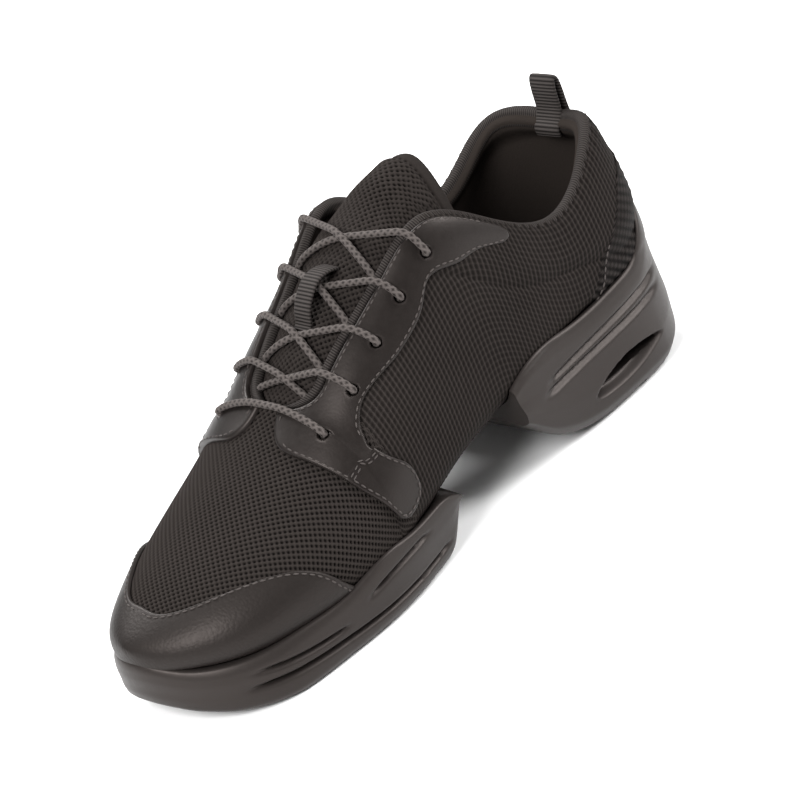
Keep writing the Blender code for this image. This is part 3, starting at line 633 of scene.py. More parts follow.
def rail_patch(name, rails, side, lift, thick, count, across, finish, holes=(), bulge=0.0):
    """Leather between two rails of rows (share_a, row_a, share_b, row_b)."""
    rails = np.array(rails)
    rails[:, [0, 2]] = turn(rails[:, [0, 2]])
    ends = np.stack([surface(rails[:, c], rails[:, c + 1], side) for c in (0, 2)], 1)
    k = path_lengths(ends.mean(1))
    length = k[-1]
    b = edged(count, length)
    width = float(np.linalg.norm(ends[:, 0] - ends[:, 1], axis=1).mean())
    a = edged(across, width)
    rail = [natural_spline(k, rails[:, c], b * length) for c in range(4)]
    q = rail[0][:, None] + (rail[2] - rail[0])[:, None] * a[None, :]
    s = np.clip(rail[1][:, None] + (rail[3] - rail[1])[:, None] * a[None, :], -1, 0.999)
    n = normal(q, s, side)
    shape = rounded(b, length)[:, None] * rounded(a, width)[None, :]
    middle = (4 * a * (1 - a))[None, :]
    high = lift + thick * shape - 0.0004 * (shape < 0.01) + bulge * middle
    points = surface(q, s, side) + n * high[..., None]
    # lighter band on the rounded borders: painted highlight
    value = 0.3 + 0.5 * (shape < 0.8)
    for centre, out in holes:
        along = points - centre
        level = (along * out).sum(-1, keepdims=True)
        close = np.abs(level[..., 0]) < HOLE_REACH
        flat = along - level * out
        d = np.linalg.norm(flat, axis=-1)
        near = np.abs(d - HOLE_RADIUS) < 0.00026
        ring = centre + flat / np.maximum(d, 1e-9)[..., None] * HOLE_RADIUS + level * out
        points = np.where((near & close)[..., None], ring, points)
        inside = (d < HOLE_RADIUS - 0.0002) & close
        points = np.where(inside[..., None], points - out * HOLE_SINK, points)
        # painted shade inside the sunk hole
        value = np.where(inside, -0.6, value)
        rim = (d > HOLE_RADIUS - 0.0002) & (d < HOLE_RADIUS + 0.0006)
        # painted highlight on the raised rim round the hole
        value = np.where(rim & ~inside, 1.5, value)
        points = np.where((rim & ~inside)[..., None], points + out * 0.00012, points)
    return add_piece(name, points, grid_faces(len(b), len(a)), finish, n, value)


HOLE_RADIUS = 0.0021
HOLE_REACH = 0.006
HOLE_SINK = 0.0026
EYELET_SHARES = [0.3305, 0.3905, 0.4505, 0.5105, 0.5705]
EYELET_ROWS = [0.640, 0.715, 0.715, 0.715, 0.715]


def eyelet(i, side):
    q = turn(EYELET_SHARES[i])
    return surface(q, EYELET_ROWS[i], side), normal(q, EYELET_ROWS[i], side)


# throat rail: share of length, row | quarter rail: share of length, row
EYESTAY = [
    (0.352, 0.052, 0.370, 0.054), (0.341, 0.070, 0.383, 0.078), (0.331, 0.130, 0.388, 0.122),
    (0.316, 0.270, 0.375, 0.260),
    (0.306, 0.410, 0.364, 0.386), (0.299, 0.550, 0.357, 0.450), (0.293, 0.700, 0.362, 0.520),
    (0.291, 0.800, 0.367, 0.570), (0.297, 0.870, 0.378, 0.610), (0.313, 0.920, 0.392, 0.623),
    (0.340, 0.940, 0.412, 0.605), (0.362, 0.935, 0.432, 0.580), (0.400, 0.930, 0.455, 0.550),
    (0.450, 0.930, 0.490, 0.530), (0.510, 0.930, 0.530, 0.545), (0.560, 0.930, 0.560, 0.592),
    (0.600, 0.915, 0.600, 0.530), (0.640, 0.870, 0.640, 0.555), (0.676, 0.848, 0.676, 0.600),
    (0.695, 0.830, 0.695, 0.655), (0.703, 0.800, 0.703, 0.710),
]
# strap patch over the band's lower end
STRAP = [
    (0.354, 0.008, 0.368, 0.010), (0.344, 0.026, 0.382, 0.034), (0.334, 0.085, 0.391, 0.085),
    (0.324, 0.190, 0.387, 0.190),
    (0.314, 0.290, 0.374, 0.280), (0.307, 0.395, 0.362, 0.395), (0.305, 0.430, 0.360, 0.430),
]
LEATHER_LIFT = 0.0005
LEATHER_THICK = 0.0012
STRAP_LIFT = LEATHER_LIFT + LEATHER_THICK - 0.0001
STRAP_THICK = 0.0005


def make_leather(side, label):
    holes = [eyelet(i, side) for i in range(5)]
    band = rail_patch("eyestay_hide_" + label, EYESTAY, side, LEATHER_LIFT, LEATHER_THICK, 330, 46, HIDE,
                      holes, bulge=0.0004)
    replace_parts(band, "eyestay_" + label)
    rail_patch("strap_hide_" + label, STRAP, side, STRAP_LIFT, STRAP_THICK, 44, 36, HIDE)


for side, label in SIDES:
    make_leather(side, label)

# share of length at each row of the cap's edge, lateral | medial
CAP_EDGE = [
    (-0.20, 0.243, 0.225), (0.106, 0.211, 0.195), (0.246, 0.188, 0.172), (0.374, 0.154, 0.142),
    (0.520, 0.104, 0.100), (0.683, 0.060, 0.066), (1.00, 0.050, 0.050),
]


def cap_turn(s, side):
    tab = np.array(CAP_EDGE)
    return natural_spline(tab[:, 0], turn(tab[:, 1 if side < 0 else 2]), s)


def cap_half(side):
    a = np.concatenate([np.linspace(0, 0.97, 90), 1 - np.array([0.022, 0.014, 0.008, 0.004, 0.0015, 0.0])])
    s = np.linspace(-0.24, 1.0, 110)
    q = cap_turn(s, side)[:, None] * a[None, :]
    s = np.repeat(s[:, None], len(a), 1)
    n = normal(q, s, side)
    points = surface(q, s, side)
    gap = np.linalg.norm(points - points[:, -1:], axis=-1)
    k = 1 - np.clip(gap / 0.0009, 0, 1)
    high = 0.0004 + OVERLAY * np.sqrt(np.clip(1 - k * k, 0, 1))
    # lighter band along the cap's rounded edge: painted highlight
    return points + n * high[..., None], n, 0.3 + 0.6 * (gap < 0.0007)


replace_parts(both_sides("cap_hide", cap_half, CAP), "toe_cap")


# Stitches: short sunk threads along a line
def point_at(where, lengths, path):
    return np.stack([np.interp(where, lengths, path[:, i]) for i in range(3)], -1)


STITCH = 0.0019
STITCH_GAP = 0.0009
THREAD_THICK = 0.00030


def stitches(name, lines):
    """One mesh of threads; each line is points and outward directions."""
    around = 6
    rings = 5
    w = np.linspace(-1, 1, rings)
    ring = np.sqrt(1 - (w * 0.93) ** 2)
    ang = np.arange(around) / around * 2 * np.pi
    points = []
    faces = []
    base = 0
    for path, outward in lines:
        lengths = path_lengths(path)
        for k in range(int(lengths[-1] / (STITCH + STITCH_GAP))):
            at = (k + 0.5) * (STITCH + STITCH_GAP)
            p = point_at(at, lengths, path)
            e = unit(point_at(at + 0.0004, lengths, path) - p)
            n = point_at(at, lengths, outward)
            n = unit(n - e * (n @ e))
            b = np.cross(e, n)
            for x, r in zip(w, ring):
                for c in ang:
                    points.append(p + e * x * STITCH / 2 + THREAD_THICK * r * (math.cos(c) * b + math.sin(c) * n))
            faces.append(ring_faces(rings, around, base))
            base += rings * around
    return add_piece(name, points, np.concatenate(faces), THREAD, relief_shading=np.full(len(points), 0.5))


def surface_line(table, side, off, step=0.0005):
    """Smooth line on the upper through (share, row) points."""
    tab = np.array(table)
    rough = surface(turn(tab[:, 0]), tab[:, 1], side)
    k = path_lengths(rough)
    w = np.linspace(0, k[-1], int(k[-1] / step))
    q = natural_spline(k, turn(tab[:, 0]), w)
    s = natural_spline(k, tab[:, 1], w)
    n = normal(q, s, side)
    return surface(q, s, side) + n * off, n


def inset(rails, part):
    """Line at a part of the way from the throat rail to the quarter rail."""
    return [(a + (c - a) * part, b + (d - b) * part) for a, b, c, d in rails]


STITCH_LIFT = 0.00015
STRAP_END = [(0.339, 0.060), (0.350, 0.034), (0.361, 0.028), (0.373, 0.036), (0.385, 0.062)]
CAP_ROWS = (-0.15, 0.1, 0.25, 0.38, 0.52, 0.68, 0.85, 0.999)


def seams_of(side):
    """Lines of stitches on one side, each with its height over the upper."""
    band = LEATHER_LIFT + LEATHER_THICK + STITCH_LIFT
    strap = band + 0.0004
    lines = [
        (inset(EYESTAY[9:16], 0.09), band), (inset(EYESTAY[6:20], 0.93), band),
        (inset(EYESTAY[4:9], 0.07), band), (inset(EYESTAY[15:19], 0.08), band),
        (inset(STRAP[1:], 0.07), strap), (inset(STRAP[1:], 0.93), strap),
    ]
    for row in (0.405, 0.385):
        lines.append(([(0.310, row), (0.335, row), (0.358, row)], strap))
    lines.append((STRAP_END, strap))
    lines.append(([(float(share(cap_turn(s, side))) - 0.007, s) for s in CAP_ROWS], OVERLAY + 0.0005))
    lines.append(([(a + 0.008, s) for a, s in HEEL_EDGE[:-1]], 0.0010))
    return [surface_line(table, side, high) for table, high in lines]


stitches("seam_stitches", seams_of(-1) + seams_of(1))


# Tongue: padded mesh with a lining roll on its top edge
TONGUE_THICK = 0.0055
TONGUE_WING = 0.66
TONGUE_FIRST = 0.300
TONGUE_TOP = 0.690
TONGUE_SEAM = 0.668
TONGUE_LEAN = 0.0034
TONGUE_ROLL = 0.0012
# share of length | height of the middle over the throat's edges
TONGUE_RISE = [
    (0.300, 0.000), (0.335, 0.000), (0.375, 0.0042), (0.430, 0.0062), (0.500, 0.0072), (0.560, 0.0090),
    (0.600, 0.0130), (0.640, 0.0202), (0.672, 0.0268), (0.690, 0.0300),
]


def slack(t):
    return CLEAR + FACET + 0.0050 * smooth(t, 0.51, 0.60)


def wing_depth(t):
    return (1 - TONGUE_WING) * (1 - 0.45 * smooth(t, 0.57, 0.61))


def wing_row(t, v):
    return 1 - np.clip(np.abs(v) - 0.5, 0, 1) * 2 * wing_depth(t)


def tongue_face(t, v):
    """Outer face of the tongue. v: -1 lateral wing, 0 middle, 1 medial wing."""
    t, v = np.broadcast_arrays(np.asarray(t, float), np.asarray(v, float))
    side = np.where(v < 0, -1.0, 1.0)
    q = turn(t)
    under = -(WALL + slack(t)) - padding(q, 1.0)
    s = wing_row(t, v)
    wing = skin(q, s, side, -(WALL + slack(t)) - padding(q, s))
    edge = skin(q, 1.0, side, under)
    other = skin(q, 1.0, -side, under)
    rise = np.clip(from_table(TONGUE_RISE, t), 0, 1)
    middle = (edge + other) / 2
    half = (edge[..., 1] - other[..., 1]) / 2
    b = np.abs(v) * 2
    lean = smooth(t, 0.57, 0.65)
    y = middle[..., 1] + half * b * (1 - 0.10 * lean * (1 - b ** 4)) - TONGUE_LEAN * lean * (1 - b * b)
    z = middle[..., 2] + rise * np.sqrt(np.clip(1 - b * b, 0, 1)) * (1 - 0.35 * b * b)
    top = np.stack([middle[..., 0], y, z], -1)
    return np.where((np.abs(v) >= 0.5)[..., None], wing, top)


def tongue_frame(t, v):
    e = 0.01
    a = tongue_face(np.asarray(t) + e, v) - tongue_face(np.asarray(t) - e, v)
    b = tongue_face(t, np.asarray(v) + e) - tongue_face(t, np.asarray(v) - e)
    n = unit(np.cross(a, b))
    return tongue_face(t, v), np.where(n[..., 2:3] > 0, n, -n)


def make_tongue():
    w = np.concatenate([np.linspace(0, 0.965, 236), 1 - 0.035 * np.linspace(0.9, 0, 14) ** 2])
    t = TONGUE_FIRST + (TONGUE_TOP - TONGUE_FIRST) * w
    v = np.concatenate([-1 + 0.06 * np.linspace(0, 0.9, 6) ** 2, np.linspace(-0.93, 0.93, 132),
                        1 - 0.06 * np.linspace(0.9, 0, 6) ** 2])
    tt, vv = np.meshgrid(t, v, indexing="ij")
    top = tongue_face(tt - 0.040 * smooth(tt, 0.58, 0.69) * np.abs(vv) ** 2.5, vv)
    for _ in range(6):
        top[:, 1:-1] = (top[:, :-2] + 2 * top[:, 1:-1] + top[:, 2:]) / 4
    n = unit(np.cross(np.gradient(top, axis=0), np.gradient(top, axis=1)))
    n = np.where(n[..., 2:3] < 0, -n, n)
    centre = top.shape[1] // 2
    along = path_lengths(top[:, centre])[:, None]
    across = row_lengths(top)
    across = across - across[:, centre][:, None]
    end = np.sqrt(np.clip(1 - np.clip((tt - TONGUE_SEAM) / (TONGUE_TOP - TONGUE_SEAM), 0, 1) ** 2, 0, 1))
    wing = np.sqrt(np.clip(1 - np.clip((np.abs(vv) - 0.90) / 0.10, 0, 1) ** 2, 0, 1))
    fat = end * wing
    mid = top - n * TONGUE_THICK / 2
    seam = np.exp(-((tt - TONGUE_SEAM + 0.001) / 0.003) ** 2)
    r = mesh_relief(along, across)
    lining = smooth(tt, TONGUE_SEAM - 0.0005, TONGUE_SEAM + 0.0010)
    r = r * (1 - lining) + lining * 0.8
    high = TONGUE_THICK / 2 * fat + (r - 0.9) * HOLE_DEPTH * wing - 0.0007 * seam
    roll = smooth(tt, 0.56, 0.62) * (1 - smooth(tt, 0.655, TONGUE_SEAM)) * (1 - (vv / 0.9) ** 2).clip(0, 1)
    high = high + TONGUE_ROLL * roll
    front = add_piece("tongue_mesh", mid + n * high[..., None], grid_faces(len(t), len(v)), MESH_CLOTH,
                      n, r)
    rows, cols = [np.append(np.arange(0, k, 3), k - 1) for k in n.shape[:2]]
    back = (mid - n * (TONGUE_THICK / 2 * fat)[..., None])[rows][:, cols]
    rear = add_piece("tongue_lining", back, grid_faces(len(rows), len(cols)), LINING,
                     -n[rows][:, cols], np.full(back.shape[:2], 0.4))
    return front, rear


tongue, tongue_lining = make_tongue()
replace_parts(tongue, "tongue")
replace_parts(tongue_lining, "tongue")


# Insole
INSOLE_DEPTH = 0.0048


def insole_half(side):
    q, s = np.meshgrid(np.linspace(0.085, 0.955, 150), np.linspace(-1.0, -0.40, 40), indexing="ij")
    n = normal(q, s, side)
    fall = 0.0012 * smooth(s, -0.55, -0.40) + 0.0020 * (1 - smooth(q, 0.085, 0.13) + smooth(q, 0.92, 0.955))
    return surface(q, s, side) - n * (WALL + INSOLE_DEPTH - fall)[..., None], -n, None


insole = both_sides("insole_cloth", insole_half, LINING)
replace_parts(insole, "insole")


# Laces: braided cord through the eyelets
CORD_SIDES = 18
CORD_STEP = 0.00036
BRAID_STEP = 0.0027


def braid(w, ang):
    twist = 2 * np.pi * w / BRAID_STEP
    return np.maximum(np.cos(3 * ang + twist), np.cos(3 * ang - twist)) * 0.5 + 0.5


def tube(path):
    """Rings and relief of a braided cord that follows a smoothed path."""
    line, w = smooth_path(np.asarray(path, float), CORD_STEP)
    ahead = unit(np.gradient(line, axis=0))
    side_dir = np.zeros_like(ahead)
    last = unit(np.cross(ahead[0], np.array([0.3, 0.2, 1.0])))
    for i in range(len(line)):
        last = unit(last - ahead[i] * (last @ ahead[i]))
        side_dir[i] = last
    up_dir = np.cross(side_dir, ahead)
    ang = np.arange(CORD_SIDES) / CORD_SIDES * 2 * np.pi
    # r also sets the tone: painted shade between the strands, painted highlight on them
    r = braid(w[:, None], ang[None, :])
    ends = np.sqrt(np.clip(1 - (1 - np.clip(np.minimum(w, w[-1] - w) / CORD, 0.02, 1)) ** 2, 0, 1))
    fat = CORD * (0.90 + 0.12 * r) * ends[:, None]
    round_dir = (np.cos(ang)[None, :, None] * side_dir[:, None, :]
                 + np.sin(ang)[None, :, None] * up_dir[:, None, :])
    return line[:, None, :] + fat[..., None] * round_dir, r


LACE_TOP = LEATHER_LIFT + LEATHER_THICK + CORD + 0.0004


def eyelet_end(i, side):
    """From above an eyelet down into its hole."""
    centre, out = eyelet(i, side)
    return [centre + out * (LACE_TOP - 0.0004), centre + out * 0.0004, centre - out * HOLE_SINK]


def flap_cloud(first, last, side):
    """Points a cord's centre can lie on above one flap."""
    t, row = np.meshgrid(np.linspace(first - 0.03, last + 0.03, 70), np.linspace(0.60, 1.0, 50), indexing="ij")
    return skin(turn(t), row, side, LACE_TOP).reshape(-1, 3)


def tongue_cloud(first, last):
    t, v = np.meshgrid(np.linspace(first - 0.03, last + 0.03, 60), np.linspace(-0.60, 0.60, 80), indexing="ij")
    face, n = tongue_frame(t, v)
    return (face + n * (CORD + 0.0003)).reshape(-1, 3)


def cover(line, cloud, reach=0.0014):
    """Height of the cloud under each point of a line, seen from above."""
    out = np.full(len(line), -1.0)
    for k, point in enumerate(line):
        near = ((cloud[:, :2] - point[:2]) ** 2).sum(1) < reach * reach
        if near.any():
            out[k] = np.median(cloud[near, 2])
    return out


def strung(start, end, clouds, bump=0.0):
    """Cord from start to end, straight from above and taut over the clouds."""
    w = np.linspace(0, 1, 34)
    chord = start + (end - start) * w[:, None]
    need = np.max([cover(chord, cloud) for cloud in clouds], axis=0)
    low = np.maximum(need - chord[:, 2], -0.02) + bump * np.exp(-((w - 0.40) / 0.18) ** 2)
    low[0] = 0
    low[-1] = 0
    line = chord.copy()
    line[:, 2] += taut(w, low)
    return list(line)


def taut(w, low):
    """Lowest taut line over the heights, from end to end, slightly eased."""
    high = low.copy()
    for i in range(len(w)):
        for j in range(i + 1, len(w)):
            k = (w[i:j + 1] - w[i]) / (w[j] - w[i])
            high[i:j + 1] = np.maximum(high[i:j + 1], low[i] + (low[j] - low[i]) * k)
    return soften(high, 2)


def soften(values, passes):
    out = values.copy()
    for _ in range(passes):
        out[1:-1] = (out[:-2] + 2 * out[1:-1] + out[2:]) / 4
    return out


CROSS_BUMP = 0.0024


def crossing(i, side, bump):
    """Cord of one crossing: from under the rim on this side to the next eyelet on the other."""
    t0 = max(EYELET_SHARES[i] - 0.006, 0.354)
    t1 = EYELET_SHARES[i + 1]
    face, n = tongue_frame(t0, 0.56 * side)
    start = face + n * (CORD * 0.8)
    tail = eyelet_end(i + 1, -side)
    clouds = [tongue_cloud(t0, t1), flap_cloud(t0, t1, -side)]
    return eyelet_under(i, side) + strung(start, tail[0], clouds, bump) + tail[1:]


def eyelet_under(i, side):
    """Hidden stretch from an eyelet to the rim, flat between the lining and the tongue."""
    t = max(EYELET_SHARES[i], 0.345)
    a = tongue_face(t + 0.001, side * 0.72)
    b = tongue_face(t - 0.004, side * 0.62)
    return [a + np.array([0, 0, 0.0004]), b + np.array([0, 0, 0.0006])]


def make_cord(node, paths):
    points = []
    faces = []
    values = []
    base = 0
    for path in paths:
        rings, r = tube(path)
        points.append(rings.reshape(-1, 3))
        faces.append(ring_faces(*r.shape, base))
        values.append(r.ravel())
        base += r.size
    piece = add_piece(node + "_cord", np.concatenate(points), np.concatenate(faces), BRAID,
                      relief_shading=np.concatenate(values))
    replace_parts(piece, node)


def make_laces():
    left = eyelet_end(0, -1)
    right = eyelet_end(0, 1)
    first = EYELET_SHARES[0]
    clouds = [tongue_cloud(first, first), flap_cloud(first, first, -1), flap_cloud(first, first, 1)]
    make_cord("lace_bar", [left[:0:-1] + strung(left[0], right[0], clouds) + right[1:]])
    for i in range(4):
        make_cord("lace_cross_%d" % (i + 1), [crossing(i, 1, 0.0), crossing(i, -1, CROSS_BUMP)])


make_laces()


# Webbing: ribbed bands for the keeper and the pull loop
WEB_RIB = 0.0013
WEB_STEP = 0.00026


def web_band(name, line, across, n, width, thick, node):
    """Closed ribbed band along a line; ribs run across it."""
    k = path_lengths(line)
    r = 0.5 + 0.5 * np.cos(2 * np.pi * k / WEB_RIB)
    c = np.array([-1, -0.97, -0.85, -0.5, 0, 0.5, 0.85, 0.97, 1.0])
    edge = np.sqrt(1 - np.abs(c) ** 8)
    rings = []
    values = []
    for sign in (1, -1):
        for x, e in (zip(c, edge) if sign > 0 else zip(c[::-1], edge[::-1])):
            lift = sign * thick / 2 * (0.25 + 0.75 * e) + sign * 0.00018 * r * e
            rings.append(line + across * (x * width / 2) + n * np.reshape(lift, (-1, 1)))
            # darker between the ribs and at the band's edges: painted shade; lighter on the rib crests: painted
            # highlight
            values.append(r * (0.6 + 0.4 * e))
    points = np.stack(rings, 1)
    faces = ring_faces(*points.shape[:2])
    piece = add_piece(name, points, faces, GROSGRAIN, relief_shading=np.stack(values, 1))
    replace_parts(piece, node)


KEEPER_SHIFT = -0.05
KEEPER_WIDTH = 0.0076
KEEPER_THICK = 0.0011


def make_keeper():
    t = np.array([0.416, 0.421, 0.428, 0.438, 0.450, 0.462, 0.474, 0.484, 0.492, 0.496])
    high = np.array([0.0009, 0.0010, 0.0026, 0.0052, 0.0066, 0.0072, 0.0068, 0.0050, 0.0024, 0.0004])
    face, n = tongue_frame(t, KEEPER_SHIFT)
    line, _ = smooth_path(face + n * high[:, None], WEB_STEP)
    ahead = unit(np.gradient(line, axis=0))
    flat = unit(tongue_face(0.44, KEEPER_SHIFT + 0.1) - tongue_face(0.44, KEEPER_SHIFT - 0.1))
    across = unit(flat - ahead * (ahead @ flat)[:, None])
    up = np.cross(ahead, across)
    up = np.where(up[:, 2:3] < 0, -up, up)
    web_band("keeper_webbing", line, across, up, KEEPER_WIDTH, KEEPER_THICK, "lace_keeper")


make_keeper()

LOOP_WIDTH = 0.012
LOOP_THICK = 0.0013
LOOP_TALL = 0.0165
LOOP_FOOT = 0.0035


def make_loop():
    q = 1.0
    outer = [skin(q, s, 1, 0.0012) for s in (0.74, 0.84, 0.93, 0.985)]
    inner = [skin(q, s, 1, -(WALL + float(padding(q, s)) + 0.0014)) for s in (0.985, 0.93, 0.84, 0.74)]
    back = outer[-1]
    front = inner[0]
    centre = (back + front) / 2
    half = (back[0] - front[0]) / 2
    arch = []
    for a in np.linspace(0, math.pi, 9):
        x = half * (0.25 + 0.62 * math.cos(a))
        arch.append(centre + np.array([x, 0, LOOP_FOOT + (LOOP_TALL - LOOP_FOOT) * math.sin(a) ** 0.55]))
    rough = np.array(outer + arch + inner)
    rough[:, 1] = rough[:, 1].mean()
    k = path_lengths(rough)
    line = point_at(np.linspace(0, k[-1], int(k[-1] / WEB_STEP)), k, rough)
    for _ in range(30):
        line[1:-1] = (line[:-2] + 2 * line[1:-1] + line[2:]) / 4
    ahead = unit(np.gradient(line, axis=0))
    across = np.tile([0.0, 1.0, 0.0], (len(line), 1))
    up = np.cross(across, ahead)
    web_band("loop_webbing", line, across, up, LOOP_WIDTH, LOOP_THICK, "pull_loop")


make_loop()


# Soles: smooth walls with grooves, a window through the heel, and lugs
# share of length | top height lateral | top height medial
FORE_TOP = [
    (0.00, 0.0266, 0.0266), (0.02, 0.0230, 0.0244), (0.05, 0.0209, 0.0222), (0.09, 0.0201, 0.0208),
    (0.15, 0.0205, 0.0205), (0.21, 0.0208, 0.0208), (0.25, 0.0226, 0.0226), (0.30, 0.0250, 0.0250),
    (0.35, 0.0238, 0.0240), (0.40, 0.0236, 0.0242), (0.43, 0.0232, 0.0240), (0.45, 0.0212, 0.0222),
    (0.46, 0.0192, 0.0202),
]
FORE_LOW = [
    (0.00, 0.0090), (0.02, 0.0055), (0.05, 0.0026), (0.09, 0.0007), (0.13, 0.0), (0.425, 0.0),
    (0.440, 0.0050), (0.452, 0.0110), (0.460, 0.0150),
]
HEEL_TOP = [
    (0.605, 0.0370, 0.0360), (0.64, 0.0408, 0.0400), (0.68, 0.0424, 0.0416), (0.74, 0.0412, 0.0410),
    (0.80, 0.0410, 0.0410), (0.86, 0.0422, 0.0422), (0.914, 0.0455, 0.0455), (0.953, 0.0545, 0.0545),
    (0.98, 0.0610, 0.0610), (1.00, 0.0650, 0.0650),
]
HEEL_LOW = [
    (0.605, 0.0222), (0.618, 0.0190), (0.635, 0.0140), (0.660, 0.0084), (0.690, 0.0042), (0.720, 0.0017),
    (0.750, 0.0004), (0.775, 0.0), (0.900, 0.0), (0.950, 0.0012), (0.980, 0.0034), (1.000, 0.0060),
]
# part of the wall's height | how far it stands out
FORE_WALL = [
    (1.00, 0.0010), (0.96, 0.0020), (0.86, 0.0028), (0.66, 0.0034), (0.44, 0.0034), (0.29, 0.0036), (0.12, 0.0032),
    (0.00, 0.0012),
]
HEEL_WALL = [
    (1.00, 0.0010), (0.96, 0.0018), (0.86, 0.0027), (0.76, 0.0028), (0.61, 0.0033), (0.50, 0.0040), (0.34, 0.0050),
    (0.12, 0.0050), (0.00, 0.0022),
]
SPREAD = [
    (0.00, -0.0010), (0.05, 0.0010), (0.12, 0.0020), (0.20, -0.0004), (0.27, -0.0014), (0.35, -0.0030),
    (0.42, -0.0046), (0.46, -0.0058), (0.60, 0.0), (0.90, 0.0), (0.96, -0.0014), (1.00, -0.0024),
]
# grooves on the walls: x and height at start, middle, end | depth | half width
GROOVES = [
    (-0.1150, 0.0105, -0.0700, 0.0071, -0.0200, 0.0076, 0.0026, 0.00080),
    (-0.1120, 0.0156, -0.0940, 0.0130, -0.0740, 0.0118, 0.0022, 0.00070),
    (-0.0680, 0.0150, -0.0510, 0.0181, -0.0300, 0.0186, 0.0022, 0.00080),
    (0.0420, 0.0290, 0.0780, 0.0315, 0.1180, 0.0345, 0.0017, 0.00110),
    (0.0380, 0.0262, 0.0760, 0.0272, 0.1150, 0.0290, 0.0017, 0.00115),
]
# lowest row of the upper that the walls follow | depth of the flex grooves underneath
SHADOW_ROW = -0.12
TREAD = 0.0020


def groove_depth(x, z):
    total = np.zeros(np.shape(x))
    for x0, z0, x1, z1, x2, z2, depth, half in GROOVES:
        u = x - SHIFT_X
        line = z0 * (u - x1) * (u - x2) / ((x0 - x1) * (x0 - x2))
        line = line + z1 * (u - x0) * (u - x2) / ((x1 - x0) * (x1 - x2))
        line = line + z2 * (u - x0) * (u - x1) / ((x2 - x0) * (x2 - x1))
        fade = smooth(u, x0, x0 + 0.010) * (1 - smooth(u, x2 - 0.010, x2))
        total = total + depth * fade * np.exp(-((z - line) / half) ** 2)
    return total


# scooped recess round the heel's window, in the side view
SCOOP_FRONT = 0.0625
SCOOP_REAR = 0.1055
SCOOP_DEPTH = 0.0042


def scoop_depth(x, z):
    """Crescent bowl under the window's lip."""
    u = np.clip((x - SHIFT_X - SCOOP_FRONT) / (SCOOP_REAR - SCOOP_FRONT), 0, 1)
    arch = np.sin(np.pi * u) ** 0.7
    low = 0.0112 - 0.0036 * arch + 0.0040 * u
    high = 0.0118 + 0.0052 * arch + 0.0010 * u
    inside = smooth(z, low - 0.0008, low + 0.0022) * (1 - smooth(z, high - 0.0010, high + 0.0003))
    return SCOOP_DEPTH * inside * smooth(arch, 0.02, 0.30)


def tread_depth(t, first, last, count):
    """Flex grooves straight across the lugs."""
    pitch = (last - first) / count
    k = np.clip((t - first) / pitch, 0, count - 1e-6)
    part = k - np.floor(k)
    here = (t >= first) & (t <= last)
    wide = 0.0015 / pitch
    return np.where(here, TREAD * smooth(part, 0.62, 0.62 + wide) * (1 - smooth(part, 1 - wide, 1.0)), 0)


